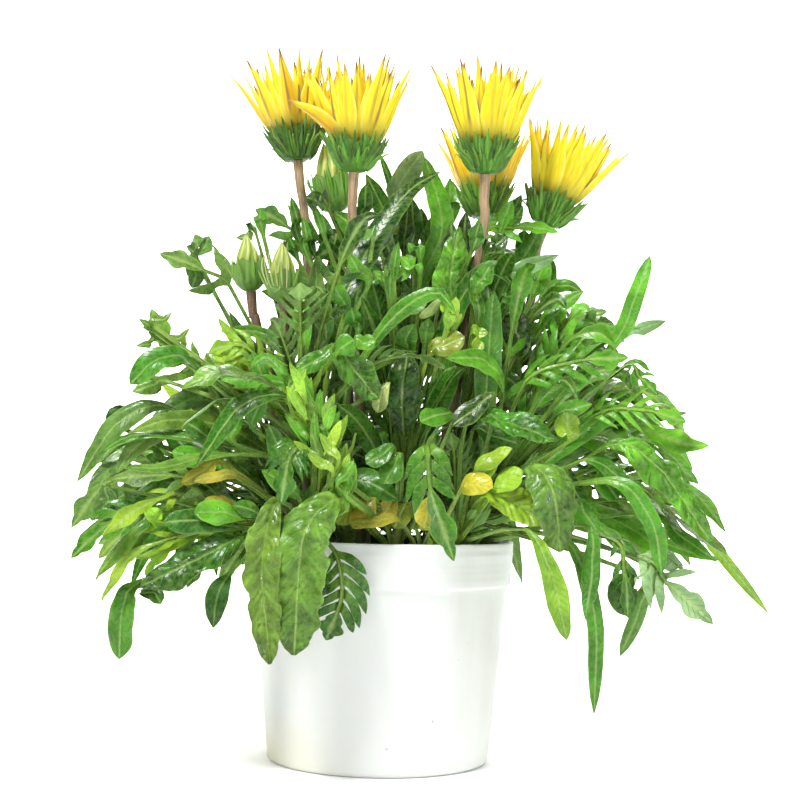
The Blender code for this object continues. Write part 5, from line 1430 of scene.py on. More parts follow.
# Small leaves that fill out the rosettes: most of a shoot's leaves are short, and crowd between the
# long ones. They are thin, so they stand closer together than the large leaves do.
THIN_ROOM = 0.10 * MM
TUFTS = {
    "young": (64, ("lime", "lime", "bright", "pale")),
    "front_right": (16, ("bright", "mid", "lime")),
    "centre": (20, ("bright", "mid", "mid")),
    "top": (24, ("mid", "deep", "bright")),
    "top_right": (20, ("mid", "bright", "deep")),
    "left_top": (14, ("mid", "bright")),
    "right": (14, ("mid", "bright")),
}
UNDERGROWTH = 70
CROWD = 400
SWEEPS = 120
SMALL = [
    ("oval", 13, 70, "dark", 330, 212, -8, 306, 197, -14),
    ("strap", 5, 80, "mid", 325, 238, -10, 312, 204, -12),
    ("strap", 6, 80, "deep", 304, 250, 0, 291, 197, -6),
    ("strap", 5, 76, "mid", 311, 264, -4, 303, 217, -8),
    ("lance", 9, 76, "deep", 392, 268, -34, 380, 223, -38),
    ("lance", 9, 66, "mid", 372, 252, -36, 346, 222, -40),
    ("lance", 8, 72, "bright", 366, 292, -40, 348, 252, -44),
    ("oval", 10, 66, "mid", 388, 300, -40, 362, 262, -44),
    ("strap", 6, 80, "bright", 420, 262, -28, 408, 243, -30),
    ("strap", 6, 80, "bright", 420, 282, -30, 400, 256, -32),
    ("strap", 7, 70, "bright", 414, 270, -28, 394, 281, -34),
    ("strap", 6, 82, "mid", 390, 302, -36, 398, 243, -38),
    ("strap", 6, 82, "mid", 392, 294, -38, 411, 261, -40),
    ("strap", 6, 76, "mid", 394, 288, -38, 373, 271, -42),
    ("lance", 12, 72, "deep", 326, 344, -50, 317, 287, -54),
    ("lance", 9, 74, "mid", 357, 337, -48, 351, 307, -52),
    ("lance", 8, 74, "mid", 374, 337, -48, 362, 307, -52),
    ("lance", 10, 68, "bright", 344, 318, -46, 330, 272, -50),
    ("oval", 11, 60, "grey", 396, 313, -44, 427, 304, -50),
    ("strap", 5, 90, "pale", 440, 308, -40, 419, 318, -44),
    ("strap", 7, 84, "lime", 446, 332, -44, 445, 296, -46),
    ("strap", 6, 84, "lime", 453, 332, -42, 456, 297, -44),
    ("lance", 12, 76, "mid", 399, 357, -50, 414, 324, -54),
    ("lance", 9, 76, "mid", 424, 350, -50, 429, 318, -52),
    ("oval", 14, 66, "olive", 427, 360, -54, 465, 337, -60),
    ("strap", 7, 66, "lime", 470, 337, -44, 488, 333, -48),
    ("strap", 7, 66, "lime", 472, 345, -46, 484, 349, -50),
    ("strap", 7, 84, "deep", 478, 327, -40, 471, 271, -42),
    ("strap", 7, 84, "deep", 490, 330, -38, 488, 286, -40),
    ("lance", 11, 74, "mid", 474, 300, -42, 492, 262, -46),
    ("lance", 10, 74, "deep", 470, 256, -36, 480, 222, -38),
    ("lance", 8, 80, "bright", 500, 236, -4, 512, 200, -8),
    ("lance", 8, 80, "mid", 506, 238, 0, 523, 206, -4),
    ("oval", 12, 66, "dark", 482, 262, -34, 507, 236, -38),
    ("oval", 14, 74, "bright", 530, 302, -8, 546, 260, -12),
    ("oval", 17, 74, "dark", 513, 357, -20, 519, 311, -24),
    ("strap", 8, 70, "mid", 496, 305, -24, 520, 293, -28),
    ("lance", 9, 66, "bright", 537, 327, -8, 584, 291, -14),
    ("lance", 9, 66, "mid", 540, 332, -14, 566, 307, -18),
    ("lance", 9, 66, "mid", 546, 347, -18, 561, 321, -22),
    ("oval", 12, 68, "mid", 336, 354, -66, 354, 340, -70),
    ("oval", 10, 68, "bright", 352, 352, -64, 376, 340, -68),
    ("oval", 14, 70, "dark", 130, 432, -28, 109, 409, -32),
    ("strap", 8, 64, "gold", 226, 464, -66, 181, 484, -72),
    ("strap", 6, 64, "gold", 240, 478, -66, 194, 481, -72),
    ("strap", 6, 64, "gold", 232, 504, -66, 204, 501, -70),
    ("strap", 6, 64, "gold", 203, 521, -66, 183, 515, -70),
    ("oval", 14, 60, "deep", 238, 528, -72, 164, 522, -80),
    ("oval", 14, 62, "bright", 248, 518, -74, 194, 513, -82),
    ("lance", 9, 64, "mid", 262, 516, -72, 233, 505, -76),
    ("oval", 9, 64, "lime", 167, 524, -58, 144, 511, -62),
    ("oval", 14, 60, "grey", 122, 488, -44, 95, 519, -50),
    ("oval", 9, 66, "deep", 150, 586, -60, 161, 604, -64),
    ("oval", 13, 70, "lime", 566, 444, -60, 568, 412, -64),
    ("oval", 15, 66, "deep", 618, 566, -64, 626, 616, -68),
    ("oval", 10, 62, "bright", 655, 437, 8, 684, 441, 6),
    ("oval", 12, 60, "dark", 496, 400, -60, 452, 426, -66),
    ("lance", 10, 60, "lime", 474, 474, -76, 512, 448, -84),
    ("lance", 8, 56, "lime", 478, 484, -76, 498, 462, -82),
    ("oval", 12, 56, "lime", 492, 494, -78, 522, 470, -86),
    ("oval", 18, 50, "lime", 484, 494, -80, 546, 524, -90),
    ("oval", 13, 60, "mid", 402, 456, -70, 384, 484, -76),
    ("oval", 12, 60, "mid", 396, 452, -70, 366, 464, -76),
    ("oval", 12, 56, "olive", 418, 500, -68, 402, 528, -72),
    ("oval", 12, 56, "gold", 398, 496, -66, 378, 524, -70),
    ("oval", 13, 56, "gold", 432, 496, -70, 424, 528, -74),
    ("oval", 12, 56, "olive", 360, 500, -62, 336, 524, -68),
    ("oval", 11, 56, "gold", 378, 500, -64, 352, 528, -70),
    ("oval", 9, 60, "pale", 384, 384, -62, 378, 413, -66),
    ("lance", 9, 72, "mid", 256, 432, -60, 262, 384, -64),
    ("lance", 9, 72, "bright", 238, 446, -56, 232, 398, -60),
    ("lance", 8, 72, "mid", 270, 400, -50, 252, 352, -54),
    ("oval", 12, 66, "mid", 216, 446, -50, 186, 422, -56),
    ("oval", 12, 66, "bright", 226, 470, -56, 172, 452, -62),
    ("lance", 10, 70, "mid", 286, 470, -70, 268, 424, -74),
    ("lance", 10, 70, "bright", 300, 500, -74, 262, 470, -80),
    ("oval", 12, 66, "mid", 590, 470, -50, 618, 500, -56),
    ("oval", 12, 66, "deep", 556, 470, -50, 584, 506, -56),
    ("oval", 12, 66, "mid", 570, 500, -56, 598, 532, -62),
    ("lance", 10, 70, "bright", 560, 396, -50, 592, 372, -54),
    ("lance", 10, 70, "mid", 552, 420, -50, 592, 404, -54),
    ("lance", 5, 66, "moss", 160, 336, -20, 139, 319, -24),
    ("lance", 5, 66, "moss", 158, 330, -20, 172, 312, -20),
    ("lance", 5, 66, "moss", 166, 346, -22, 136, 346, -26),
    ("lance", 5, 66, "moss", 172, 352, -22, 190, 328, -24),
    ("oval", 9, 70, "deep", 318, 262, 10, 306, 222, 8),
    ("lance", 8, 76, "deep", 330, 258, 12, 322, 214, 10),
    ("lance", 9, 72, "mid", 338, 262, 8, 347, 226, 6),
    ("oval", 8, 70, "mid", 300, 264, 6, 289, 238, 4),
    ("lance", 9, 80, "deep", 392, 262, 10, 388, 214, 8),
    ("lance", 9, 80, "dark", 404, 258, 14, 408, 206, 12),
    ("oval", 10, 80, "deep", 428, 262, 12, 436, 214, 10),
    ("oval", 9, 80, "deep", 364, 236, 14, 366, 184, 12),
    ("lance", 10, 84, "deep", 414, 252, 20, 412, 198, 18),
    ("lance", 9, 84, "deep", 424, 252, 22, 421, 208, 20),
    ("lance", 9, 84, "mid", 450, 232, 10, 450, 178, 8),
    ("lance", 9, 84, "dark", 462, 262, 12, 466, 212, 10),
    ("oval", 10, 80, "mid", 522, 270, 6, 524, 230, 4),
    ("oval", 11, 70, "grey", 200, 264, 24, 209, 236, 22),
    ("oval", 10, 70, "grey", 200, 268, 24, 192, 288, 22),
    ("lance", 8, 70, "grey", 258, 240, 22, 236, 238, 20),
    ("lance", 8, 70, "mid", 264, 238, 22, 260, 208, 20),
    ("oval", 13, 60, "deep", 470, 436, -48, 518, 444, -54),
    ("oval", 12, 60, "deep", 492, 372, -40, 520, 388, -46),
    ("lance", 10, 66, "moss", 176, 384, -30, 132, 392, -36),
]
SPRAY = 78
top_band = {(i + n, low + n * (far - 1) + m) for i, low, far in (
    (41, 25, 8), (44, 22, 11), (48, 20, 8), (51, 20, 6), (55, 24, 8), (58, 25, 8), (62, 27, 6), (66, 29, 4))
    for n in range(4) for m in range(far)}
thick_cover = {}
crowd = random.Random(17)


def cover(made):
    for cell in cells(*made):
        thick_cover[cell] = thick_cover.get(cell, 0) + 1


for name, all_made in coarse.items():
    for made in all_made:
        cover(made)


def inside_box(points):
    low, high = solid_box[0], solid_box[1]
    return all(low[i] < p[i] < high[i] for p in points for i in range(3))


def crowd_leaf(name, kind, width, face_way, line, root, seed):
    plan = leaf_plan(root, kind, width, face_way, line, seed)
    made = leaf(plan, width, THIN_ROOM, True)
    if not inside_box(made[0]) or not clear(*made, f"shoot_{name}", root):
        return None
    return plan, made


def small_leaf(number, kind, width, turn, look, *spots):
    """Places one of the small leaves; where it has no room, it moves forward or back, or grows elsewhere."""
    for attempt in range(60):
        shift = (attempt + 1) // 2 * 1.6 * (1 if attempt % 2 else -1)
        first = at(spots[0], spots[1], spots[2] + shift)
        last = at(spots[3], spots[4], spots[5] + shift)
        near = sorted(crowns, key=lambda n: (crowns[n] - first).length + (first.z < crowns[n].z) * 6 * MM)
        name = near[attempt % 3 if attempt > 12 else 0]
        root = along(stems[name][0], 0.95 - 0.09 * ((attempt * 2 + number) % 6))[0]
        tilt = math.radians(turn + (attempt % 4) * 4)
        face_way = Vector((0, -math.sin(tilt), math.cos(tilt)))
        middle = first.lerp(last, 0.5) + Vector((0, -1, 1)) * (last - first).length * 0.06
        found = crowd_leaf(name, kind, width, face_way, [first, middle, last], root, 300 + number)
        if found:
            put(name, found[1], root, found[0], width, look)
            cover(found[1])
            return


spray = random.Random(7)
for k in range(SPRAY):
    u, v = 352 - 52 * k / SPRAY + spray.uniform(-15, 12), 512 - 112 * k / SPRAY
    lean, y = spray.uniform(3, 22) * (1 if k % 2 else -1) - 5, -66 - spray.uniform(0, 18)
    width, turn = spray.uniform(3.8, 5.8), spray.uniform(62, 80)
    look = spray.choice(["lime", "bright", "moss"])
    tip = u + lean, v - spray.uniform(22, 42), y - spray.uniform(0, 6)
    SMALL.append(("lance", width, turn, look, u, v, y, *tip))
for number, one in enumerate(SMALL):
    small_leaf(number, *one)

for name, (count, looks) in TUFTS.items():
    for k in range(count):
        root, way = along(stems[name][0], 0.24 + 0.72 * (k + 0.5) / count)
        side, turn = Vector((1, 0, 0)) - way * way.x, k * GOLDEN_TURN
        out = side.normalized() * math.cos(turn) + way.cross(side).normalized() * math.sin(turn)
        for attempt in range(12):
            lean = math.radians(crowd.uniform(26, 58))
            size = crowd.uniform(20, 36) * MM
            leaning = way * math.cos(lean) + out * math.sin(lean)
            line = [root + leaning * size * 0.24, root + leaning * size * 0.62,
                    root + leaning * size * 0.92 + way * size * 0.10]
            width = crowd.uniform(4.5, 7.0)
            found = crowd_leaf(name, "lance", width, way - out * 0.6, line, root, 900 + k)
            if found:
                cover(found[1])
                put(name, found[1], root, found[0], width, pick.choice(looks))
                break

low_band = {(i, j) for i in range(42, 65) for j in range(60, 65)}
mass |= low_band | top_band
for number in range(UNDERGROWTH + CROWD):
    best = None
    under = number < UNDERGROWTH
    for attempt in range(14):
        among = low_band if under else mass
        weights = sorted(sorted(among), key=lambda c: thick_cover.get(c, 0) + crowd.random() * 2.2)
        i, j = weights[crowd.randrange(60)]
        deep = (-30, 60) if under else (20, 110) if number % 3 == 0 else (-80, 30)
        if 35 < i < 47 and 45 < j < 64:
            deep = (-25, 60)
        aim = at((i + 0.5) * CELL, (j + 0.5) * CELL, crowd.uniform(*deep))
        near = sorted(crowns, key=lambda n: (crowns[n] - aim).length)
        name = near[crowd.randrange(3)]
        root = along(stems[name][0], crowd.uniform(0.45, 0.98))[0]
        reach = aim - root
        if not 16 * MM < reach.length < 105 * MM or reach.z < -40 * MM:
            continue
        out = Vector((reach.x, reach.y, 0)).normalized()
        lift = crowd.uniform(0.02, 0.2) * reach.length
        stalk_share = crowd.uniform(0.34, 0.56)
        start = root + reach * stalk_share + Vector((0, 0, lift * 0.8))
        crest = root + reach * (stalk_share + 1) / 2 + Vector((0, 0, lift))
        tip = aim + (aim - crest) * crowd.uniform(0.4, 1.0)
        tip.z -= crowd.uniform(-0.08, 0.25) * reach.length
        kind = crowd.choice(["oval", "lance", "lobe3", "lobe4", "lobe2", "lobe3", "lobe4"])
        width = crowd.uniform(20, 32) if kind.startswith("lobe") else crowd.uniform(8, 13)
        tilt = math.radians(crowd.uniform(30, 80))
        face_way = Vector((out.x * 0.3, -math.sin(tilt), math.cos(tilt)))
        found = crowd_leaf(name, kind, width, face_way, [start, crest, aim, tip], root, 500 + number)
        if not found:
            continue
        hides = cells(*found[1])
        gain = sum(1.0 / (1 + thick_cover.get(c, 0)) for c in hides & mass) - 1.2 * len(hides - mass)
        if best is None or gain > best[0]:
            best = (gain, name, width, *found, root, aim)
    if best and best[0] > 0.5:
        gain, name, width, plan, made, root, aim = best
        cover(made)
        # Painted shade: the undergrowth low over the rim gets dark and deep greens.
        look = pick.choice(["dark", "deep"]) if number < UNDERGROWTH else look_for(aim, pick)
        put(name, made, root, plan, width, look)

for number in range(SWEEPS):
    name = crowd.choice([n for n in crowns if n not in ("front", "front_left", "front_right", "centre")])
    path = stems[name][0]
    for attempt in range(12):
        turn = crowd.uniform(0, 2 * math.pi)
        length = crowd.uniform(34, 95) * MM
        out = Vector((math.cos(turn), math.sin(turn), 0))
        side = Vector((-out.y, out.x, 0))
        root = along(path, crowd.uniform(0.4, 0.98))[0]
        crest = crowd.uniform(0.1, 0.6) * length
        drop = crowd.uniform(-0.1, 0.5) * length
        bow = side * length * crowd.uniform(-0.12, 0.12)
        line = [root + out * length * 0.38 + Vector((0, 0, crest * 0.8)),
                root + out * length * 0.68 + bow + Vector((0, 0, crest)),
                root + out * length * 0.95 + Vector((0, 0, crest - drop))]
        kind = crowd.choice(["oval", "lobe4", "lobe3", "lobe2", "lobe3", "lobe4"])
        width = crowd.uniform(20, 34) if kind.startswith("lobe") else crowd.uniform(8, 13)
        face_way = Vector((0, 0, 1)) + side * crowd.uniform(-0.5, 0.5)
        found = crowd_leaf(name, kind, width, face_way, line, root, 700 + number)
        hides = cells(*found[1]) if found else set()
        if found and len(hides - mass) < 0.5 * len(hides) + 1:
            put(name, found[1], root, found[0], width, look_for(line[-1], pick))
            break


# The leaves themselves: thin blades on a channelled stalk, with a rib that stands out below and is sunk
# above, glossy green over a paler underside. Lobed ones are cut nearly to the rib.
LEAF_ROWS = 30
STALK_ROWS = 4
LOBE_ROWS = 8
LOBE_WIDTH = 0.68
BLUNT_WIDTH = 1.2
THIN = 0.5 * MM
MARGIN_WAVE = 0.24
RUFFLE = 0.16
BLISTERS = 2.0
QUILT = 0.52
SCALLOPS = (3.3, 0.90, 0.15)
LOBE_CURL = 0.30
NOTCHED = 0.62
BROAD = 16.5
SLIM = 9.5
CRINKLES = (0.7, 1.4)
FINE = {
    "broad": [(0.0, 0.22), (0.12, 0.60), (0.30, 0.96), (0.58, 1.0), (0.80, 0.78), (0.93, 0.52), (1.0, 0.08)],
    "oval": [(0.0, 0.10), (0.15, 0.36), (0.32, 0.72), (0.60, 1.0), (0.82, 0.84), (0.94, 0.48), (1.0, 0.03)],
    "lance": [(0.0, 0.10), (0.25, 0.70), (0.52, 1.0), (0.78, 0.76), (0.92, 0.36), (1.0, 0.02)],
    "strap": [(0.0, 0.40), (0.25, 0.90), (0.45, 1.0), (0.78, 0.85), (0.93, 0.48), (1.0, 0.03)],
}
GREENS = {
    # The dark green is painted shade for leaves that stand in the plant's shadow.
    "dark": (0.010, 0.055, 0.004),
    "deep": (0.022, 0.120, 0.006),
    "mid": (0.050, 0.230, 0.010),
    "bright": (0.100, 0.370, 0.018),
    "lime": (0.260, 0.500, 0.028),
    "pale": (0.360, 0.480, 0.160),
    "grey": (0.095, 0.225, 0.045),
    "olive": (0.180, 0.260, 0.022),
    "gold": (0.400, 0.350, 0.030),
    "yellow": (0.600, 0.560, 0.045),
    "moss": (0.130, 0.290, 0.030),
    "silver": (0.190, 0.370, 0.170),
}
STALK_PALE = (0.240, 0.400, 0.060)
END_LOBE = [(0.16, 0.50), (0.36, 0.88), (0.52, 1.0), (0.72, 0.82), (0.90, 0.36), (1.0, 0.03)]
LOBE = [(0, 0.8), (0.3, 1.0), (0.55, 0.98), (0.8, 0.55), (1, 0.02)]
BLUNT_LOBE = [(0, 0.8), (0.3, 1.0), (0.55, 0.98), (0.8, 0.78), (1, 0.02)]
# Painted shade: how dark the foot of a leaf's stalk is painted, deep in the plant.
STALK_FOOT_SHADE = 0.30


def shape_of(outline, half=0.0):
    if outline is OVAL and half > BROAD / 2 * MM:
        return FINE["broad"]
    return FINE["oval"] if outline is OVAL else FINE["lance"] if outline is LANCE else FINE["strap"]


def bend_over(tone, other, share):
    return tuple(a + (b - a) * share for a, b in zip(tone, other))


def shade_stalk_foot(tone, up):
    """The tone darkened towards the foot of a leaf's stalk, as painted shade deep in the plant; up is the
    share of the way up the stalk.
    """
    return tuple(c * min(STALK_FOOT_SHADE + (1 - STALK_FOOT_SHADE) * up, 1.0) for c in tone)


def leaf_spot(plan, share, across, rib, edge, tint, lay, crinkle, off=0.0, curl=0.0):
    """One point of a blade: its upper and lower place, thinner at the edge and thicker at the rib.

    Off is how far out towards its margin the point lies; the margin is ruffled by crinkle, and curl lifts
    the point, in millimetres.
    """
    path, start, half, outline, lobes, bent, kind = plan
    taper = 1.0 - 0.6 * share
    run = share * path[2] / MM
    lift = curl + crinkle * noise.noise(Vector((run * 0.16, across / MM * 0.2, half * 4000)))
    if crinkle > 1:
        drift = noise.noise(Vector((run * 0.11, across / MM * 0.16, half * 2000)))
        slope = QUILT * (run - 1.1 * abs(across) / MM) + 3.4 * drift
        pillow = abs(math.sin(slope)) ** 0.7 * (0.75 + 0.9 * drift)
        lift += BLISTERS * 0.5 * pillow * (1 - rib)
        # Painted shade and light: the tint is darker in the hollows of a crinkled leaf and lighter on its
        # pillows. It also grows darker towards the tip.
        tint = tint and tuple(c * (0.42 + 0.85 * pillow) * (1.12 - 0.45 * share ** 3) for c in tint)
    ruffle = RUFFLE * crinkle * min(half / MM, 14.0) * off * off
    lift += ruffle * noise.noise(Vector((run * 0.12, 7.0 if across > 0 else 3.0, half * 3000)))
    groove = 0.35 * MM * rib * taper
    spot, normal = bent(share, across, lift * MM - groove)
    body = (THIN * 0.5) * (1.0 - 0.75 * edge)
    below = body + 0.9 * MM * rib * taper
    if share < start:
        body, below = body + 0.35 * MM * (1 - edge), below + 0.3 * MM * (1 - edge)
    return spot + normal * body, spot - normal * below, tint, lay, (share, edge)


def plain_leaf(growth, plan, tint, rows, columns, crinkle):
    """A plain blade from its stalk to its tip; its margins waver, each in its own way."""
    path, start, half, outline, lobes, bent, kind = plan
    shape = shape_of(outline, half)
    stalk_tint = bend_over(tint, STALK_PALE, 0.65)
    spots = []
    levels = [start * k / STALK_ROWS for k in range(STALK_ROWS)]
    levels += [start + (1 - start) * k / rows for k in range(rows + 1)]
    for share in levels:
        t = (share - start) / (1 - start)
        w = PETIOLE * 0.9 if t < 0 else max(half * swept(shape, t), 0.25 * MM)
        if 0 <= t < 0.2:
            w = max(w, PETIOLE * 0.9 * (1 - t / 0.2))
        near = min(0.9 * MM / w, 0.3)
        tone = bend_over(stalk_tint, tint, min(max(t * 4 + 0.3, 0), 1))
        # Painted shade at the foot of the stalk.
        tone = shade_stalk_foot(tone, share / start)
        waver = [1.0, 1.0]
        if 0 < t < 1:
            for side in (0, 1):
                tooth = noise.noise(Vector((share * path[2] * 110, half * 900, 5.0 * side)))
                waver[side] += MARGIN_WAVE * crinkle * (tooth - 0.1) * math.sin(math.pi * t) ** 0.5
                if crinkle > 1 and outline is OVAL:
                    bulge = abs(math.sin(math.pi * (SCALLOPS[0] * t + 0.4 * side + 1.2 * tooth))) ** 0.6
                    waver[side] *= SCALLOPS[1] + SCALLOPS[2] * bulge
        outer = [near + (1 - near) * (k / columns) for k in range(1, columns + 1)]
        for q in [-o for o in outer[::-1]] + [-near, 0, near] + outer:
            rib = 1.0 if q == 0 else 0.35 if abs(q) == near else 0.0
            edge = 1.0 if abs(q) > 0.99 else 0.3 if abs(q) == outer[-2] else 0.0
            lay = (share * path[2] / MM, q * w / MM, rib)
            if t <= 0:
                edge *= 0.5
            spots.append(leaf_spot(plan, share, q * w * waver[q > 0], rib, edge, tone, lay,
                                   crinkle if t > 0 else 0.0, abs(q)))
    growth.blade(spots, sheet_rows(len(levels), 3 + 2 * columns))


def lobed_leaf(growth, plan, tint, blunt, steps, crinkle):
    """A blade cut to its rib: leaning lobes in pairs, each with its own rib, and a long lobe at the tip."""
    path, start, half, outline, lobes, bent, kind = plan
    pairs, start, reach, length, lean, end_share, end_half, wide = lobes
    stop = 1 - end_share
    rib_half = PETIOLE * 0.9
    span = (stop - start) / pairs
    foot = min(span / 2, max(0.75 * wide, 2.4 * MM) / length)
    wide = max(wide, 0.72 * foot * length * math.sin(lean)) * (BLUNT_WIDTH if blunt else LOBE_WIDTH)
    lean += 0.1
    stalk_tint = bend_over(tint, STALK_PALE, 0.65)
    rib_tint = bend_over(tint, STALK_PALE, 0.4)
    columns = (-1, -0.66, -0.3, 0, 0.3, 0.66, 1) if steps > 4 else (-1, -0.3, 0, 0.3, 1)
    wide_by = len(columns)
    levels = [(start * k / STALK_ROWS, None) for k in range(STALK_ROWS)]
    for k in range(pairs):
        middle = start + span * (k + 0.5)
        if k and span / 2 - foot > 0.002:
            levels.append((middle - span / 2, None))
        levels += [(middle - foot + 2 * foot * n / (wide_by - 1), k) for n in range(wide_by)]
    levels = [level for n, level in enumerate(levels)
              if n == 0 or level[0] - levels[n - 1][0] > 1e-6 or level[1] is not None]
    tip_rows = 18 if steps > 4 else 12
    first = 1 if span / 2 - foot < 0.001 else 0
    levels += [(stop + end_share * n / tip_rows, None) for n in range(first, tip_rows + 1)]
    end_shape = [(0, rib_half / end_half)] + END_LOBE
    spots, faces, firsts = [], sheet_rows(len(levels), wide_by), {}
    for n, (share, owner) in enumerate(levels):
        t = (share - stop) / end_share
        w = rib_half
        if t > 0:
            notch = abs(math.sin(math.pi * (2.4 * t + 0.12))) ** 0.7
            w = max(end_half * swept(end_shape, t) * (NOTCHED + (1.08 - NOTCHED) * notch), 0.2 * MM)
        if owner is not None:
            firsts.setdefault(owner, n)
        tone = bend_over(rib_tint, tint, min(t * 4, 1))
        if t <= 0:
            tone = bend_over(stalk_tint, rib_tint, min(share / start, 1))
        # Painted shade at the foot of the stalk.
        tone = shade_stalk_foot(tone, share / start)
        for q in columns:
            rib = 1.0 if q == 0 else 0.45 if abs(q) == 0.3 else 0.0
            edge = 1.0 if abs(q) == 1 and t > 0 else 0.3 if abs(q) == 1 and owner is None else 0.0
            lay = (share * length / MM, q * w / MM, rib)
            spots.append(leaf_spot(plan, share, q * w, rib, edge, tone, lay, crinkle * max(min(t, 1), 0),
                                   abs(q)))
    for k in range(pairs):
        size = reach * (0.72 + 0.28 * math.sin(math.pi * (k + 1) / (pairs + 0.6)))
        middle = start + span * (k + 0.5)
        for hand in (-1, 1):
            curl = LOBE_CURL * size / MM * noise.noise(Vector((k * 3.7, hand * 2.3, half * 5000)))
            row = [(firsts[k] + n) * wide_by + (wide_by - 1 if hand > 0 else 0) for n in range(wide_by)]
            for step in range(1, steps + 1):
                f = step / steps
                width = max(wide * swept(BLUNT_LOBE if blunt else LOBE, f), 0.08 * MM)
                ease = min(f / 0.4, 1.0)
                ease = ease * ease * (3 - 2 * ease)
                bow = lean - 0.22 * (f - 0.35)
                line = []
                for n in range(wide_by):
                    c = -1 + 2 * n / (wide_by - 1)
                    share = middle + math.cos(bow) * size * f / length
                    share += (foot * (1 - ease) + math.sin(lean) * width * ease / length) * c
                    across = hand * rib_half + math.sin(bow) * hand * size * f
                    across -= math.cos(lean) * hand * width * ease * c
                    rib = (0.5 * (1 - f)) if c == 0 else 0.0
                    edge = 1.0 if abs(c) == 1 or step == steps else 0.0
                    lay = (middle * length / MM + size * f / MM, c * width / MM * 0.8, rib * 1.2)
                    line.append(len(spots))
                    tone = bend_over(rib_tint, tint, min(f * 3, 1))
                    spots.append(leaf_spot(plan, share, across, rib * 0.4, edge, tone, lay, crinkle, 0.0,
                                           curl * 2 * f * f - (1.2 * f * f if blunt else 0)))
                for n in range(wide_by - 1):
                    face = [row[n], row[n + 1], line[n + 1], line[n]]
                    faces.append(face if hand > 0 else face[::-1])
                row = line
    growth.blade(spots, faces)


leaf_skin = Finish("leaf_skin", 0.34, Subsurface_Weight=0.06, Subsurface_Scale=0.001, Specular_IOR_Level=0.38)
leaf_tint = leaf_skin.mark("tint")["Color"]
leaf_lay = leaf_skin.parts(leaf_skin.mark("lay")["Vector"])
leaf_share = leaf_skin.parts(leaf_skin.mark("share")["Vector"])
below = leaf_share[2]
patches = leaf_skin.grain(70.0, 4.0)
fine_patches = leaf_skin.grain(420.0, 3.0)
tone = leaf_skin.mix(leaf_skin.span(patches, 0.38, 0.62), (0.66, 0.72, 0.60), (1.24, 1.18, 1.10))
tone = leaf_skin.mix(1.0, leaf_tint, tone, "MULTIPLY")
tone = leaf_skin.mix(leaf_skin.span(fine_patches, 0.4, 0.7, 0.0, 0.18), tone, (0.30, 0.45, 0.06))
slant = leaf_skin.plus(leaf_lay[0], leaf_skin.times(leaf_skin.maths("ABSOLUTE", leaf_lay[1]), -1.15))
slant = leaf_skin.plus(leaf_skin.times(slant, 0.26), leaf_skin.times(patches, 1.2))
vein = leaf_skin.maths("ABSOLUTE", leaf_skin.maths("SINE", leaf_skin.times(slant, math.pi)))
vein = leaf_skin.span(vein, 0.0, 0.30, 1.0, 0.0)
vein = leaf_skin.times(vein, leaf_skin.span(leaf_share[1], 0.0, 0.9, 1.0, 0.0))
tone = leaf_skin.over(tone, vein, 0.28, (0.28, 0.48, 0.08))
tone = leaf_skin.over(tone, leaf_skin.span(leaf_lay[2], 0.3, 1.0), 0.55, (0.38, 0.54, 0.15))
tone = leaf_skin.over(tone, leaf_skin.span(leaf_share[1], 0.6, 1.0), 0.28, (0.34, 0.52, 0.12))
felt = leaf_skin.mix(leaf_skin.times(fine_patches, 0.5), (0.15, 0.30, 0.05), (0.32, 0.45, 0.17))
tone = leaf_skin.over(tone, below, 0.5, felt)
leaf_skin.set("Base Color", tone)
gloss = leaf_skin.span(fine_patches, 0.3, 0.7, 0.22, 0.42)
leaf_skin.set("Roughness", leaf_skin.plus(gloss, leaf_skin.times(below, 0.36)))
puckers = leaf_skin.plus(leaf_skin.times(vein, -0.7), leaf_skin.times(patches, 0.5))
puckers = leaf_skin.plus(puckers, leaf_skin.times(fine_patches, 0.35))
leaf_skin.relief(puckers, 0.6, 0.0008)

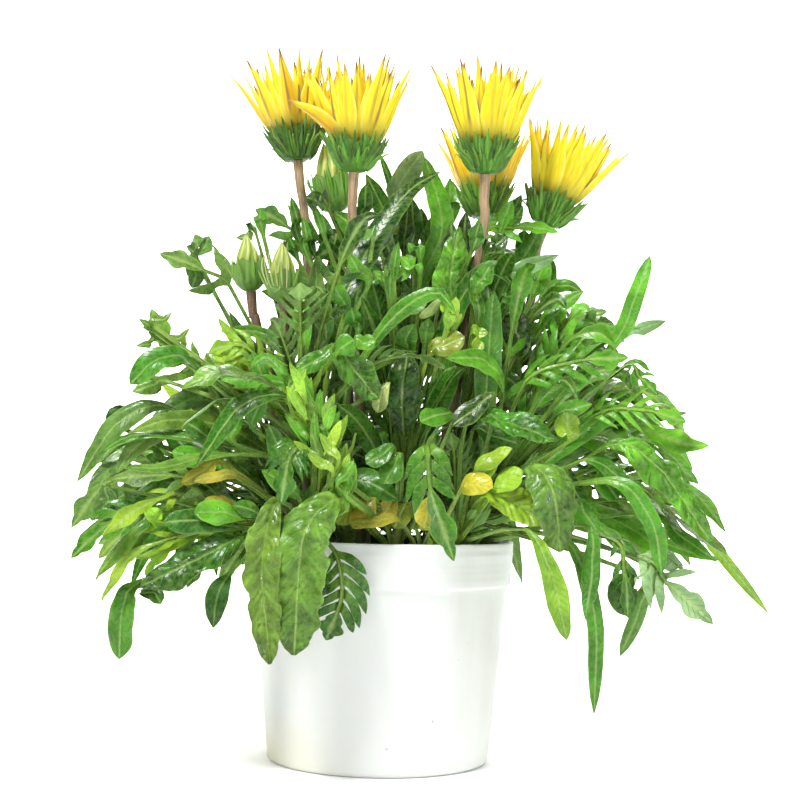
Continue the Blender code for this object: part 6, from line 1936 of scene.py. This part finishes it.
tints = random.Random(41)
for name, (path, leaves) in stems.items():
    growth = Growth()
    verts, faces = stem_rod(path, STEM_R, STEM_R * 0.75, 16, 14)
    growth.body(verts, faces, (0.26, 0.36, 0.09) if name != "old" else (0.45, 0.36, 0.10))
    for number, (plan, width, look) in enumerate(leaves):
        vary = tints.uniform(0.84, 1.18)
        warm = tints.uniform(0.9, 1.18)
        r, g, b = GREENS[look]
        tint = (min(r * vary * warm, 1), min(g * vary, 1), min(b * vary, 1))
        large = bool(plan[3]) and width > BROAD
        crinkle = CRINKLES[large]
        if large:
            plain_leaf(growth, plan, tint, 2 * LEAF_ROWS, 7, crinkle)
        elif plan[3] and width < SLIM:
            plain_leaf(growth, plan, tint, 11, 2, crinkle)
        elif plan[3]:
            plain_leaf(growth, plan, tint, LEAF_ROWS if number < 8 else 14, 3, crinkle)
        else:
            steps = LOBE_ROWS if number < 8 else 4
            lobed_leaf(growth, plan, tint, plan[6] == "comb" and width >= 28, steps, crinkle)
    body = growth.piece(f"leafy_shoot_{name}", [leaf_skin])
    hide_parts(f"shoot_{name}")


# The water drops: small clear beads that rain has left on the upper side of the larger leaves. Each sits
# half sunk on its leaf, so that it looks pressed flat where it wets the leaf.
DROPS = 2600
DROP_R = (0.25, 0.62)
DROP_FLAT = 0.62
water = Finish("water", 0.03, Transmission_Weight=1.0, IOR=1.33)
ripples = water.grain(300.0, 2.0)
water.set("Base Color", water.mix(ripples, (0.96, 0.99, 0.97), (1.0, 1.0, 1.0)))
water.set("Roughness", water.span(ripples, 0.3, 0.7, 0.01, 0.06))
water.relief(ripples, 0.1, 0.0001)

bead = bmesh.new()
bmesh.ops.create_icosphere(bead, subdivisions=1, radius=1.0)
bead_spots = [v.co.copy() for v in bead.verts]
bead_sides = [[v.index for v in f.verts] for f in bead.faces]
bead.free()
rain = random.Random(53)
wet = [plan for path, leaves in stems.values() for plan, width, look in leaves if plan[3] and width > 10.5]
weights = [plan[0][2] * plan[2] for plan in wet]
verts, faces = [], []
for plan in rain.choices(wet, weights, k=DROPS):
    path, start, half, outline, lobes, bent, kind = plan
    t = rain.uniform(0.06, 0.94)
    across = rain.uniform(-0.8, 0.8) * half * swept(shape_of(outline, half), t)
    share = start + (1 - start) * t
    radius = rain.uniform(*DROP_R) * rain.uniform(0.6, 1.0) * MM
    crinkle = CRINKLES[half > BROAD / 2 * MM]
    spot = leaf_spot(plan, share, across, 0.0, 0.0, None, None, crinkle, abs(across) / half)[0]
    normal = bent(share, across)[1]
    turn = normal.to_track_quat("Z", "Y").to_matrix()
    first = len(verts)
    for ball in bead_spots:
        verts.append(spot + turn @ Vector((ball.x, ball.y, ball.z * DROP_FLAT)) * radius)
    faces += [[p + first for p in side] for side in bead_sides]
drops = piece("water_drops", verts, faces, [water], scale=1.0)
